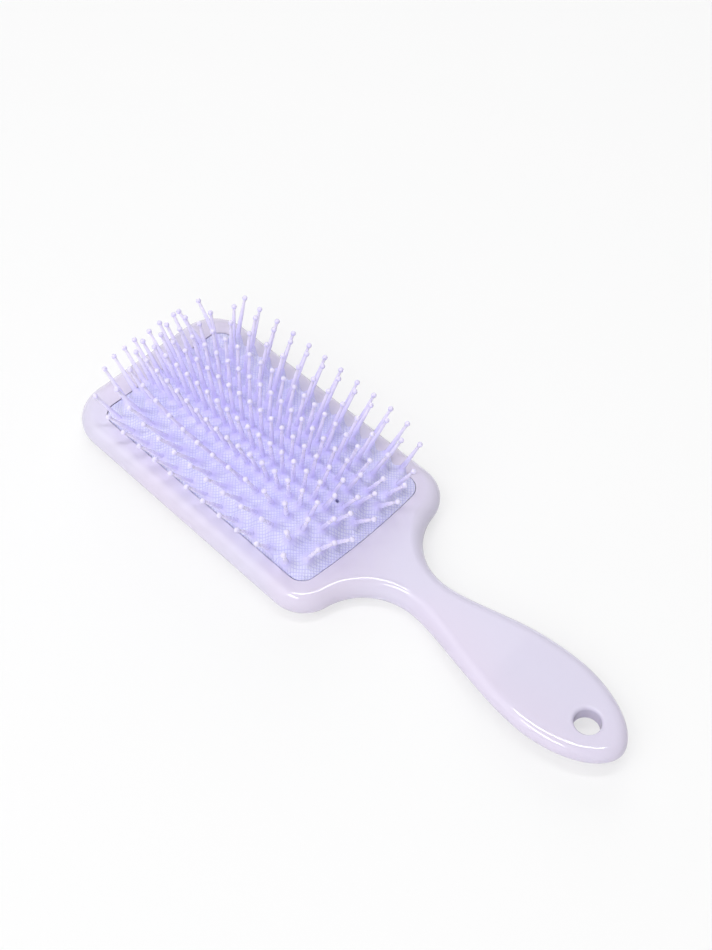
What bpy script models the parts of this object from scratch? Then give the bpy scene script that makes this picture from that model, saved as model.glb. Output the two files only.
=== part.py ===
"""Paddle hair brush with a domed rubber cushion, modelled as the pieces it is assembled from.

Metres, +Z up. The brush lies on its back with its pins up: the long axis is Y, the head points
to +Y and the handle to -Y. The origin is the middle of the brush on the surface it lies on.
Places along the brush are worked out from the middle of the cushion and shifted by CUSHION_Y.
"""
import math

import bmesh
import bpy
from mathutils import Vector
from mathutils.geometry import delaunay_2d_cdt

# Opening that the cushion fills
OPENING_WIDTH = 0.0630
OPENING_LENGTH = 0.1134
OPENING_CORNER_RADIUS = 0.0064
OPENING_BOW = 0.0011

# Head and handle outline
SIDE_RIM = 0.0087
HEAD_END_RIM = 0.0128
HEAD_CORNER_RADIUS = 0.0170
SHOULDER_RADIUS = 0.0147
NECK_RADIUS = 0.0240
NECK_WIDTH = 0.0164
NECK_REACH = 0.0328
GRIP_WIDTH = 0.0350
GRIP_REACH = 0.0575
HANDLE_LENGTH = 0.0898

# Heights above the surface that the brush lies on
HEAD_THICKNESS = 0.0130
HEAD_EDGE_HEIGHT = 0.0075
NECK_TOP = 0.0122
NECK_EDGE_HEIGHT = 0.0058
NECK_UNDERSIDE = 0.0004
GRIP_TOP = 0.0134
GRIP_EDGE_HEIGHT = 0.0097
GRIP_UNDERSIDE = 0.0054
TIP_TOP = 0.0128
TIP_EDGE_HEIGHT = 0.0092
TIP_UNDERSIDE = 0.0056

# Rounding of the body's edges, as insets from its outline
TOP_ROUNDING = 0.0055
BACK_ROUNDING = 0.0122
GRIP_ROUNDING = 0.0048

# Hanging hole
HOLE_DIAMETER = 0.0096
HOLE_FROM_TIP = 0.0154
HOLE_RIM_RADIUS = 0.0009

# Walls and fits
FRONT_WALL = 0.0024
COVER_WALL = 0.0018
COVER_LEDGE = 0.0016
COVER_SKIRT_WALL = 0.0016
COVER_RIM_HEIGHT = 0.0034
CLEARANCE = 0.0003
CUT_OVERRUN = 0.0040

# Cushion
CUSHION_WALL = 0.0012
CUSHION_CROWN = 0.0069
CUSHION_RIM_DEPTH = 0.0015
SIDE_FLANK = 0.0039
HEAD_FLANK = 0.0080
HANDLE_FLANK = 0.0110
CUSHION_LIP = 0.0022
LIP_FRAME_WIDTH = 0.0030
LIP_FRAME_THICKNESS = 0.0020
VENT_DIAMETER = 0.0014

# Pins
PIN_LENGTH = 0.0193
PIN_ROOT_WIDTH = 0.0020
PIN_NECK_WIDTH = 0.0010
BALL_DIAMETER = 0.0021
PIN_STRIP_THICKNESS = 0.0009
PIN_SIDE_MARGIN = 0.0027
PIN_END_MARGIN = 0.0055

# Pins in each lengthwise column, and how far its end pins stand in from the pins' full span as shares
# of that span. The first entry is the middle column, the last the outermost.
PINS_PER_COLUMN = (20, 20, 20, 14, 13, 12)
HEAD_GAP_SHARES = (0.016, -0.010, 0.010, 0.024, 0.036, 0.066)
HANDLE_GAP_SHARES = (0.017, 0.051, 0.008, 0.016, 0.016, 0.051)

# How far the pins fan out, as shares of their length
SIDE_FAN_SHARE = 0.71
SIDE_FAN_LIMIT_SHARE = 0.54
END_FAN_SHARE = 0.26
END_FAN_KICK_SHARE = 0.44
OUTER_END_FAN_LOSS_SHARE = 0.32
OUTER_END_KICK_LOSS_SHARE = 0.60

# Shares that shape curves
GRIP_START_HANDLE_SHARE = 0.24
GRIP_END_HANDLE_SHARE = 0.42
TIP_ROUNDNESS = 1.9
END_FLANK_SHARPNESS = 2.2
FAN_FALL = 1.35
FAN_FALL_GAIN = 6.3
FAN_KICK_SHARPNESS = 3.6
BALL_SQUARE_SHARE = 0.80
BALL_NECK_SHARE = 0.85
GRIP_HIGH_SHARE = 0.70
NECK_ROUNDING_SHARE = 0.60
NECK_BACK_ROUNDING_SHARE = 0.80

# Facets
CORNER_STEPS = 6
SHOULDER_STEPS = 5
NECK_STEPS = 7
SIDE_STEPS = 4
GRIP_STEPS = 9
TIP_STEPS = 8
EDGE_STEPS = 4
OPENING_CORNER_STEPS = 4
BOW_STEPS = 6
HOLE_SIDES = 24
RIM_STEPS = 3
SHARP_ANGLE = math.radians(34)
INSIDE_OUTLINE = 1

# Derived sizes
HALF_OPENING_X = OPENING_WIDTH / 2
HALF_OPENING_Y = OPENING_LENGTH / 2
HALF_HEAD = HALF_OPENING_X + SIDE_RIM
HEAD_END = HALF_OPENING_Y + HEAD_END_RIM
NECK_Y = -HALF_OPENING_Y - NECK_REACH
GRIP_Y = NECK_Y - GRIP_REACH
TIP_Y = NECK_Y - HANDLE_LENGTH
CUSHION_Y = -(HEAD_END + TIP_Y) / 2
HOLE_Y = TIP_Y + HOLE_FROM_TIP
SHOULDER_GAP = HALF_HEAD - SHOULDER_RADIUS - NECK_WIDTH / 2 - NECK_RADIUS
SHOULDER_Y = NECK_Y + math.sqrt((SHOULDER_RADIUS + NECK_RADIUS) ** 2 - SHOULDER_GAP ** 2)
LIP_Z = HEAD_THICKNESS - FRONT_WALL - CLEARANCE
LIP_FRAME_Z = LIP_Z - CUSHION_WALL - CLEARANCE
CAVITY_OUT = LIP_FRAME_WIDTH + CLEARANCE
COVER_OUT = CAVITY_OUT + COVER_LEDGE - CLEARANCE
COVER_SKIRT_TOP = LIP_FRAME_Z - LIP_FRAME_THICKNESS - CLEARANCE
PIN_SPAN = OPENING_LENGTH - 2 * PIN_END_MARGIN
SIDE_COLUMNS = len(PINS_PER_COLUMN) - 1
COLUMN_PITCH = (HALF_OPENING_X - PIN_SIDE_MARGIN) / SIDE_COLUMNS
PIN_FOOT = CUSHION_WALL + CLEARANCE
MERGE_DISTANCE = CLEARANCE / 100
SHIFT = Vector((0, CUSHION_Y, 0))

BODY_COLOUR = (0.752, 0.708, 0.888, 1.0)
CUSHION_COLOUR = (0.640, 0.610, 0.930, 1.0)
PIN_COLOUR = (0.690, 0.630, 0.940, 1.0)
COVER_COLOUR = (0.730, 0.690, 0.870, 1.0)
FRAME_COLOUR = (0.800, 0.790, 0.840, 1.0)


def clear_scene():
    for old in list(bpy.data.objects):
        bpy.data.objects.remove(old, do_unlink=True)


def new_collection(name):
    collection = bpy.data.collections.new(name)
    bpy.context.scene.collection.children.link(collection)
    return collection


def plastic(name, colour, roughness):
    material = bpy.data.materials.new(name)
    material.use_nodes = True
    shader = material.node_tree.nodes["Principled BSDF"]
    shader.inputs["Base Color"].default_value = colour
    shader.inputs["Roughness"].default_value = roughness
    shader.inputs["Metallic"].default_value = 0.0
    return material


def weld(mesh):
    """Join a mesh's doubled points and face it outwards."""
    work = bmesh.new()
    work.from_mesh(mesh)
    bmesh.ops.remove_doubles(work, verts=work.verts, dist=MERGE_DISTANCE)
    bmesh.ops.recalc_face_normals(work, faces=work.faces)
    work.to_mesh(mesh)
    work.free()


def smooth_object(name, mesh, collection, material=None):
    mesh.shade_smooth()
    mesh.set_sharp_from_angle(angle=SHARP_ANGLE)
    if material:
        mesh.materials.append(material)
    made = bpy.data.objects.new(name, mesh)
    collection.objects.link(made)
    return made


def finish_mesh(name, work):
    """Turn hand-built faces into a mesh that faces outwards."""
    bmesh.ops.recalc_face_normals(work, faces=work.faces)
    mesh = bpy.data.meshes.new(name)
    work.to_mesh(mesh)
    work.free()
    return mesh


def move_origin(made, place):
    for vertex in made.data.vertices:
        vertex.co -= place
    made.location = place


def hide_cutter(made):
    made.hide_render = True
    made.display_type = "WIRE"
    return made


def boolean(target, cutter, operation):
    modifier = target.modifiers.new(operation.title() + " " + cutter.name, "BOOLEAN")
    modifier.operation = operation
    modifier.solver = "EXACT"
    modifier.object = cutter
    return modifier


# Outlines


def arc(centre_x, centre_y, radius, start, end, steps):
    """Points along an arc, both ends included."""
    points = []
    for step in range(steps + 1):
        angle = start + (end - start) * step / steps
        points.append((centre_x + radius * math.cos(angle), centre_y + radius * math.sin(angle)))
    return points


def opening_outline(out):
    """Closed outline of the opening, moved outwards by out, clockwise seen from above."""
    half_x = HALF_OPENING_X + out
    half_y = HALF_OPENING_Y + out
    radius = OPENING_CORNER_RADIUS + out
    inner_x = half_x - radius
    inner_y = half_y - radius
    quarter = math.pi / 2
    points = arc(-inner_x, inner_y, radius, 2 * quarter, quarter, OPENING_CORNER_STEPS)
    points += arc(inner_x, inner_y, radius, quarter, 0, OPENING_CORNER_STEPS)
    points += arc(inner_x, -inner_y, radius, 0, -quarter, OPENING_CORNER_STEPS)
    for step in range(1, BOW_STEPS):
        x = inner_x - 2 * inner_x * step / BOW_STEPS
        points.append((x, -half_y - OPENING_BOW * (1 - (x / inner_x) ** 2)))
    points += arc(-inner_x, -inner_y, radius, -quarter, -2 * quarter, OPENING_CORNER_STEPS)
    return [(x, y + CUSHION_Y) for x, y in points]


def bezier(start, start_handle, end_handle, end, steps):
    points = []
    for step in range(1, steps + 1):
        t = step / steps
        weights = ((1 - t) ** 3, 3 * t * (1 - t) ** 2, 3 * t * t * (1 - t), t ** 3)
        knots = (start, start_handle, end_handle, end)
        points.append(tuple(sum(w * k[axis] for w, k in zip(weights, knots)) for axis in (0, 1)))
    return points


def body_half_outline():
    """Right half of the body's outline, from the middle of the head end to the handle's tip."""
    head_x = HALF_HEAD - HEAD_CORNER_RADIUS
    corner_y = HEAD_END - HEAD_CORNER_RADIUS
    points = [(0, HEAD_END)]
    points += arc(head_x, corner_y, HEAD_CORNER_RADIUS, math.pi / 2, 0, CORNER_STEPS)
    for step in range(1, SIDE_STEPS):
        points.append((HALF_HEAD, corner_y + (SHOULDER_Y - corner_y) * step / SIDE_STEPS))
    shoulder_x = HALF_HEAD - SHOULDER_RADIUS
    neck_x = NECK_WIDTH / 2 + NECK_RADIUS
    turn = math.atan2(NECK_Y - SHOULDER_Y, neck_x - shoulder_x)
    points += arc(shoulder_x, SHOULDER_Y, SHOULDER_RADIUS, 0, turn, SHOULDER_STEPS)
    points += arc(neck_x, NECK_Y, NECK_RADIUS, turn + math.pi, math.pi, NECK_STEPS)[1:]
    start = points[-1]
    end = (GRIP_WIDTH / 2, GRIP_Y)
    start_handle = (start[0], start[1] - GRIP_START_HANDLE_SHARE * GRIP_REACH)
    end_handle = (end[0], end[1] + GRIP_END_HANDLE_SHARE * GRIP_REACH)
    points += bezier(start, start_handle, end_handle, end, GRIP_STEPS)
    power = 2 / TIP_ROUNDNESS
    for step in range(1, TIP_STEPS):
        angle = math.pi / 2 * step / TIP_STEPS
        x = end[0] * math.cos(angle) ** power
        points.append((x, GRIP_Y - (GRIP_Y - TIP_Y) * math.sin(angle) ** power))
    points.append((0, TIP_Y))
    return [(x, y + CUSHION_Y) for x, y in points]


# Body shape


def ease(low, high, value):
    share = min(1, max(0, (value - low) / (high - low)))
    return share * share * (3 - 2 * share)


def along(y, head, neck, grip, tip):
    """Value that eases from head to neck to grip to tip as y runs down the brush."""
    neck_y = NECK_Y + CUSHION_Y
    head_y = CUSHION_Y - HALF_OPENING_Y
    grip_y = neck_y - GRIP_HIGH_SHARE * GRIP_REACH
    tip_y = TIP_Y + CUSHION_Y
    if y >= neck_y:
        return neck + (head - neck) * ease(neck_y, head_y, y)
    if y >= grip_y:
        return grip + (neck - grip) * ease(grip_y, neck_y, y)
    return tip + (grip - tip) * ease(tip_y, grip_y, y)


def top_height(y):
    return along(y, HEAD_THICKNESS, NECK_TOP, GRIP_TOP, TIP_TOP)


def edge_height(y):
    return along(y, HEAD_EDGE_HEIGHT, NECK_EDGE_HEIGHT, GRIP_EDGE_HEIGHT, TIP_EDGE_HEIGHT)


def underside_height(y):
    return along(y, 0, NECK_UNDERSIDE, GRIP_UNDERSIDE, TIP_UNDERSIDE)


def top_inset(y):
    return along(y, TOP_ROUNDING, NECK_ROUNDING_SHARE * NECK_WIDTH / 2, GRIP_ROUNDING, GRIP_ROUNDING)


def back_inset(y):
    neck = NECK_BACK_ROUNDING_SHARE * NECK_WIDTH / 2
    return along(y, BACK_ROUNDING, neck, GRIP_ROUNDING, GRIP_ROUNDING)


def inward_normals(points):
    """Unit normals towards the inside of a half outline that is mirrored at x = 0."""
    mirrored = [(-points[1][0], points[1][1])] + points + [(-points[-2][0], points[-2][1])]
    normals = []
    for index in range(len(points)):
        before = Vector(mirrored[index])
        after = Vector(mirrored[index + 2])
        run = (after - before).normalized()
        normals.append(Vector((run.y, -run.x)))
    return normals


def body_section(point, normal):
    """One rib of the half body, from the middle of the top round the edge to the middle below."""
    y = point[1]
    rib = []
    for step in range(EDGE_STEPS + 1):
        angle = math.pi / 2 * (1 - step / EDGE_STEPS)
        place = Vector(point) + normal * top_inset(y) * (1 - math.cos(angle))
        low = edge_height(place.y)
        rib.append((max(place.x, 0), place.y, low + (top_height(place.y) - low) * math.sin(angle)))
    for step in range(1, EDGE_STEPS + 1):
        angle = math.pi / 2 * step / EDGE_STEPS
        place = Vector(point) + normal * back_inset(y) * (1 - math.cos(angle))
        high = edge_height(place.y)
        drop = (high - underside_height(place.y)) * math.sin(angle)
        rib.append((max(place.x, 0), place.y, high - drop))
    first = (0, rib[0][1], top_height(rib[0][1]))
    last = (0, rib[-1][1], underside_height(rib[-1][1]))
    return [first] + rib + [last]


def body_blank(name, collection, material=None):
    """Whole outer form of head and handle, before anything is cut out of it."""
    outline = body_half_outline()
    ribs = [body_section(p, n) for p, n in zip(outline, inward_normals(outline))]
    size = len(ribs[0])
    vertices = [place for rib in ribs for place in rib]
    faces = []
    for row in range(len(ribs) - 1):
        for column in range(size - 1):
            corner = row * size + column
            faces.append((corner, corner + 1, corner + size + 1, corner + size))
    mesh = bpy.data.meshes.new(name)
    mesh.from_pydata(vertices, [], faces)
    weld(mesh)
    blank = smooth_object(name, mesh, collection, material)
    mirror = blank.modifiers.new("Mirror", "MIRROR")
    mirror.use_axis[0] = True
    mirror.use_clip = True
    mirror.merge_threshold = MERGE_DISTANCE
    return blank


def prism(name, outline, low, high, collection):
    """Upright block on a closed outline, a filled curve turned into a mesh."""
    curve = bpy.data.curves.new(name, "CURVE")
    curve.dimensions = "2D"
    curve.fill_mode = "BOTH"
    curve.extrude = (high - low) / 2
    spline = curve.splines.new("POLY")
    spline.points.add(len(outline) - 1)
    for knot, (x, y) in zip(spline.points, outline):
        knot.co = (x, y, 0, 1)
    spline.use_cyclic_u = True
    drawn = bpy.data.objects.new(name + " outline", curve)
    drawn.location = (0, 0, (low + high) / 2)
    collection.objects.link(drawn)
    bpy.context.view_layer.update()
    graph = bpy.context.evaluated_depsgraph_get()
    mesh = bpy.data.meshes.new_from_object(drawn.evaluated_get(graph))
    weld(mesh)
    made = bpy.data.objects.new(name, mesh)
    made.matrix_world = drawn.matrix_world
    collection.objects.link(made)
    bpy.data.objects.remove(drawn)
    return made


def hole_cutter(cutters):
    """Turned cutter for the hanging hole, flared at both faces so that the rim is rounded."""
    y = HOLE_Y + CUSHION_Y
    top = top_height(y)
    low = underside_height(y)
    wide = HOLE_DIAMETER / 2 + HOLE_RIM_RADIUS
    flare = [(step / RIM_STEPS) * math.pi / 2 for step in range(RIM_STEPS + 1)]
    sides = [(wide - HOLE_RIM_RADIUS * math.sin(a), HOLE_RIM_RADIUS * (1 - math.cos(a))) for a in flare]
    profile = [(0, top + CUT_OVERRUN), (wide, top + CUT_OVERRUN)]
    profile += [(x, top - depth) for x, depth in sides]
    profile += [(x, low + depth) for x, depth in reversed(sides)]
    profile += [(wide, low - CUT_OVERRUN), (0, low - CUT_OVERRUN)]
    mesh = bpy.data.meshes.new("hole_cutter")
    mesh.from_pydata([(x, 0, z) for x, z in profile], [(i, i + 1) for i in range(len(profile) - 1)], [])
    cutter = bpy.data.objects.new("hole_cutter", mesh)
    cutter.location = (0, y, 0)
    cutters.objects.link(cutter)
    screw = cutter.modifiers.new("Screw", "SCREW")
    screw.steps = HOLE_SIDES
    screw.render_steps = HOLE_SIDES
    screw.use_merge_vertices = True
    screw.merge_threshold = MERGE_DISTANCE
    return cutter


def make_body(collection, cutters):
    """Front moulding: the frame round the cushion and the handle in one piece."""
    body = body_blank("body", collection, plastic("glossy lilac plastic", BODY_COLOUR, 0.22))
    below = -CUT_OVERRUN
    ceiling = HEAD_THICKNESS - FRONT_WALL
    cuts = (
        prism("cavity_cutter", opening_outline(CAVITY_OUT), below, ceiling, cutters),
        prism("cover_seat_cutter", opening_outline(COVER_OUT + CLEARANCE), below,
              COVER_RIM_HEIGHT + CLEARANCE, cutters),
        prism("opening_cutter", opening_outline(0), below, HEAD_THICKNESS + CUT_OVERRUN, cutters),
        hole_cutter(cutters),
    )
    for cutter in cuts:
        boolean(body, hide_cutter(cutter), "DIFFERENCE")
    return body


def make_back_cover(collection, cutters):
    """Back panel, let into the underside of the head, with a skirt that carries the lip frame."""
    cover = body_blank("back_cover", collection, plastic("lilac back plastic", COVER_COLOUR, 0.25))
    skirt_out = CAVITY_OUT - CLEARANCE
    pocket_out = skirt_out - COVER_SKIRT_WALL
    plug = prism("cover_plug", opening_outline(COVER_OUT), -CUT_OVERRUN, COVER_RIM_HEIGHT, cutters)
    skirt = prism("cover_skirt", opening_outline(skirt_out), COVER_WALL, COVER_SKIRT_TOP, cutters)
    pocket_top = COVER_SKIRT_TOP + CUT_OVERRUN
    pocket = prism("cover_pocket", opening_outline(pocket_out), COVER_WALL, pocket_top, cutters)
    boolean(cover, hide_cutter(plug), "INTERSECT")
    boolean(cover, hide_cutter(skirt), "UNION")
    boolean(cover, hide_cutter(pocket), "DIFFERENCE")
    return cover


def make_lip_frame(collection, cutters):
    """Flat ring that clamps the cushion's lip against the inside of the body."""
    bottom = LIP_FRAME_Z - LIP_FRAME_THICKNESS
    ring = prism("lip_frame", opening_outline(LIP_FRAME_WIDTH), bottom, LIP_FRAME_Z, collection)
    ring.data.materials.append(plastic("plain white plastic", FRAME_COLOUR, 0.45))
    inside_top = LIP_FRAME_Z + CUT_OVERRUN
    inside = prism("lip_frame_cutter", opening_outline(0), bottom - CUT_OVERRUN, inside_top, cutters)
    boolean(ring, hide_cutter(inside), "DIFFERENCE")
    return ring


# Cushion and pins


def cushion_height(x, y):
    """Height of the cushion's outer face, y measured from the middle of the cushion."""
    side = max(0, HALF_OPENING_X - CLEARANCE - abs(x))
    end = max(0, HALF_OPENING_Y - CLEARANCE - abs(y))
    end_flank = HEAD_FLANK if y > 0 else HANDLE_FLANK
    side_rise = 1 - math.exp(-side / SIDE_FLANK)
    end_rise = 1 - math.exp(-((end / end_flank) ** END_FLANK_SHARPNESS))
    foot = HEAD_THICKNESS - CUSHION_RIM_DEPTH
    return foot + (CUSHION_CROWN + CUSHION_RIM_DEPTH) * side_rise * end_rise


def cushion_normal(x, y):
    step = CLEARANCE
    slope_x = (cushion_height(x + step, y) - cushion_height(x - step, y)) / (2 * step)
    slope_y = (cushion_height(x, y + step) - cushion_height(x, y - step)) / (2 * step)
    return Vector((-slope_x, -slope_y, 1)).normalized()


def pin_direction(x, y):
    """Unit direction of a pin that leaves the cushion at x, y."""
    across = abs(x) / (SIDE_COLUMNS * COLUMN_PITCH)
    down = min(1, abs(y) / (PIN_SPAN / 2))
    fall = 1 - down ** (FAN_FALL + FAN_FALL_GAIN * across ** 4)
    side = min(SIDE_FAN_SHARE * across, SIDE_FAN_LIMIT_SHARE) * fall
    steady = END_FAN_SHARE * (1 - OUTER_END_FAN_LOSS_SHARE * across ** 2)
    kick = END_FAN_KICK_SHARE * (1 - OUTER_END_KICK_LOSS_SHARE * across ** 2)
    end = steady * down + kick * down ** FAN_KICK_SHARPNESS
    lean_x = math.copysign(side, x)
    lean_y = math.copysign(end, y)
    return Vector((lean_x, lean_y, math.sqrt(1 - lean_x ** 2 - lean_y ** 2)))


class Pin:
    """Where one pin stands, which way it points and the two directions square to it."""

    def __init__(self, x, y):
        self.foot = Vector((x, y, cushion_height(x, y)))
        self.normal = cushion_normal(x, y)
        self.axis = pin_direction(x, y)
        self.along = (Vector((0, 1, 0)) - self.axis * self.axis.y).normalized()
        self.across = self.along.cross(self.axis)

    def ring(self, centre, half):
        """Four corners of a square round the pin's axis."""
        signs = ((-1, 1), (1, 1), (1, -1), (-1, -1))
        return [centre + self.across * half * a + self.along * half * b for a, b in signs]

    def strip_ring(self, depth):
        """Four corners of the strip under the pin, depth below the cushion's outer face."""
        centre = self.foot - self.axis * depth / self.axis.dot(self.normal)
        run = (Vector((0, 1, 0)) - self.normal * self.normal.y).normalized()
        side = run.cross(self.normal)
        half = PIN_ROOT_WIDTH / 2
        signs = ((-1, 1), (1, 1), (1, -1), (-1, -1))
        return [centre + side * half * a + run * half * b for a, b in signs]

    def hole_corners(self):
        """Corners of the hole in the cushion's outer face, found along the pin's axis."""
        taper = PIN_FOOT / (PIN_LENGTH + PIN_FOOT)
        half = (PIN_ROOT_WIDTH - (PIN_ROOT_WIDTH - PIN_NECK_WIDTH) * taper) / 2 + CLEARANCE
        corners = []
        for corner in self.ring(self.foot, half):
            for _ in range(4):
                rise = cushion_height(corner.x, corner.y) - corner.z
                corner = corner + self.axis * rise / self.axis.dot(self.normal) * self.normal.z
            corners.append(corner)
        return corners


def column_pins(column):
    """Pins of one lengthwise column, from the head end to the handle end."""
    rank = abs(column)
    count = PINS_PER_COLUMN[rank]
    first = PIN_SPAN * (1 / 2 - HEAD_GAP_SHARES[rank])
    last = PIN_SPAN * (HANDLE_GAP_SHARES[rank] - 1 / 2)
    return [Pin(column * COLUMN_PITCH, first + (last - first) * n / (count - 1)) for n in range(count)]


def vent_outline(columns):
    """Round vent on the middle line, between the second and third pins from the handle."""
    third, second = columns[SIDE_COLUMNS][-3:-1]
    middle = (third.foot + second.foot) / 2
    return arc(middle.x, middle.y, VENT_DIAMETER / 2, 0, 2 * math.pi, CORNER_STEPS)[:-1]


def cushion_grid(columns):
    """Places between the pins of the thinly set columns and at the ends, which keep the crown's curve."""
    places = []
    for pins in columns:
        if len(pins) < PINS_PER_COLUMN[0]:
            for pin, after in zip(pins, pins[1:]):
                places.append((pin.foot.x, (pin.foot.y + after.foot.y) / 2))
    edge_y = HALF_OPENING_Y - PIN_END_MARGIN / 2
    for column in range(1 - SIDE_COLUMNS, SIDE_COLUMNS, 2):
        places += [(column * COLUMN_PITCH, -edge_y), (column * COLUMN_PITCH, edge_y)]
    return places


def cushion_plan(columns):
    """Points and edges of the cushion seen from above, with the pin that each hole point belongs to.

    The rim's points come first, then four for each pin's hole, then the vent's and the loose ones.
    """
    points = [(x, y - CUSHION_Y) for x, y in opening_outline(-CLEARANCE)]
    loops = [range(len(points))]
    owners = {}
    for pin in (pin for pins in columns for pin in pins):
        start = len(points)
        points += [(corner.x, corner.y) for corner in pin.hole_corners()]
        loops.append(range(start, len(points)))
        owners.update({index: pin for index in loops[-1]})
    start = len(points)
    points += vent_outline(columns)
    loops.append(range(start, len(points)))
    edges = [(loop[i - 1], loop[i]) for loop in loops for i in range(len(loop))]
    points += cushion_grid(columns)
    return points, edges, loops, owners


def cushion_faces(points, edges, loops):
    """Triangles between the rim and the holes."""
    hole_of = {index: number for number, loop in enumerate(loops[1:], start=1) for index in loop}
    places = [Vector(point) for point in points]
    made = delaunay_2d_cdt(places, edges, [], INSIDE_OUTLINE, MERGE_DISTANCE / 10)
    faces = [tuple(made[3][corner][0] for corner in face) for face in made[2]]
    return [face for face in faces if None in (holes := {hole_of.get(i) for i in face}) or len(holes) > 1]


def make_cushion(columns, collection):
    """Domed rubber cushion: one moulding with a hole for each pin, a vent and a lip."""
    points, edges, loops, owners = cushion_plan(columns)
    rim = loops[0]
    work = bmesh.new()
    top = []
    bottom = []
    inner_rim = [Vector((x, y - CUSHION_Y, 0)) for x, y in opening_outline(-CLEARANCE - CUSHION_WALL)]
    for index, (x, y) in enumerate(points):
        place = Vector((x, y, cushion_height(x, y)))
        if index in rim:
            under = inner_rim[index] + Vector((0, 0, place.z - CUSHION_WALL))
        elif index in owners:
            pin = owners[index]
            under = place - pin.axis * CUSHION_WALL / pin.axis.dot(pin.normal)
        else:
            under = place - cushion_normal(x, y) * CUSHION_WALL
        top.append(work.verts.new(place + SHIFT))
        bottom.append(work.verts.new(under + SHIFT))
    for a, b, c in cushion_faces(points, edges, loops):
        work.faces.new((top[a], top[b], top[c]))
        work.faces.new((bottom[c], bottom[b], bottom[a]))
    for a, b in edges[len(rim):]:
        work.faces.new((top[a], top[b], bottom[b], bottom[a]))
    lip_low = LIP_Z - CUSHION_WALL
    lip_out = CUSHION_LIP - CLEARANCE
    lip_in = -CLEARANCE - CUSHION_WALL
    levels = ((-CLEARANCE, LIP_Z), (lip_out, LIP_Z), (lip_out, lip_low), (lip_in, lip_low))
    rings = [[top[i] for i in rim]]
    rings += [[work.verts.new((x, y, z)) for x, y in opening_outline(out)] for out, z in levels]
    rings.append([bottom[i] for i in rim])
    for upper, lower in zip(rings, rings[1:]):
        for i in rim:
            work.faces.new((upper[i - 1], upper[i], lower[i], lower[i - 1]))
    mesh = finish_mesh("cushion", work)
    return smooth_object("cushion", mesh, collection, plastic("soft lilac rubber", CUSHION_COLOUR, 0.60))


def add_pin(work, pin):
    """Add one pin's stem and ball to a row, and return the strip's top and floor corners under it."""
    ball = BALL_DIAMETER / 2
    tip = pin.foot + pin.axis * PIN_LENGTH
    root = pin.strip_ring(PIN_FOOT)
    neck = pin.ring(tip - pin.axis * ball * BALL_NECK_SHARE, PIN_NECK_WIDTH / 2)
    belt = pin.ring(tip, ball * BALL_SQUARE_SHARE)
    rings = [[work.verts.new(place + SHIFT) for place in ring] for ring in (root, neck, belt)]
    apex = work.verts.new(tip + pin.axis * ball + SHIFT)
    for low, high in zip(rings, rings[1:]):
        for i in range(4):
            work.faces.new((low[i - 1], low[i], high[i], high[i - 1]))
    for i in range(4):
        work.faces.new((rings[-1][i - 1], rings[-1][i], apex))
    floor = [work.verts.new(corner - pin.normal * PIN_STRIP_THICKNESS + SHIFT) for corner in root]
    work.faces.new(floor)
    return rings[0], floor


def make_pin_row(name, pins, material, collection):
    """One lengthwise row of pins on the strip that carries them under the cushion."""
    work = bmesh.new()
    stations = [add_pin(work, pin) for pin in pins]
    for top, floor in stations:
        work.faces.new((top[1], top[2], floor[2], floor[1]))
        work.faces.new((top[3], top[0], floor[0], floor[3]))
    for (top, floor), (next_top, next_floor) in zip(stations, stations[1:]):
        work.faces.new((top[3], top[2], next_top[1], next_top[0]))
        work.faces.new((floor[3], floor[2], next_floor[1], next_floor[0]))
        work.faces.new((top[3], floor[3], next_floor[0], next_top[0]))
        work.faces.new((top[2], floor[2], next_floor[1], next_top[1]))
    top, floor = stations[0]
    work.faces.new((top[0], top[1], floor[1], floor[0]))
    top, floor = stations[-1]
    work.faces.new((top[2], top[3], floor[3], floor[2]))
    row = smooth_object(name, finish_mesh(name, work), collection, material)
    middle = pins[len(pins) // 2].foot
    move_origin(row, Vector((middle.x, CUSHION_Y, middle.z)))
    return row


def main():
    clear_scene()
    brush = new_collection("paddle_hair_brush")
    cutters = new_collection("cutters")
    make_body(brush, cutters)
    make_back_cover(brush, cutters)
    make_lip_frame(brush, cutters)
    columns = [column_pins(column) for column in range(-SIDE_COLUMNS, SIDE_COLUMNS + 1)]
    make_cushion(columns, brush)
    nylon = plastic("clear lilac nylon", PIN_COLOUR, 0.30)
    for number, pins in enumerate(columns, start=1):
        make_pin_row(f"pin_row_{number:02d}", pins, nylon, brush)


main()
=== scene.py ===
"""Looks of a paddle hair brush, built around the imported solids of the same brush.

Metres, +Z up. The brush lies on its back with its pins up: the long axis is Y, the head points to
+Y and the handle to -Y. Places on the cushion are worked out from its middle and then shifted.
"""
from __future__ import annotations

import logging
import math
from collections.abc import Iterator
from dataclasses import dataclass
from enum import Enum

import bmesh
import bpy
import numpy as np
from mathutils import Matrix, Vector
from mathutils.geometry import delaunay_2d_cdt


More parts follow.
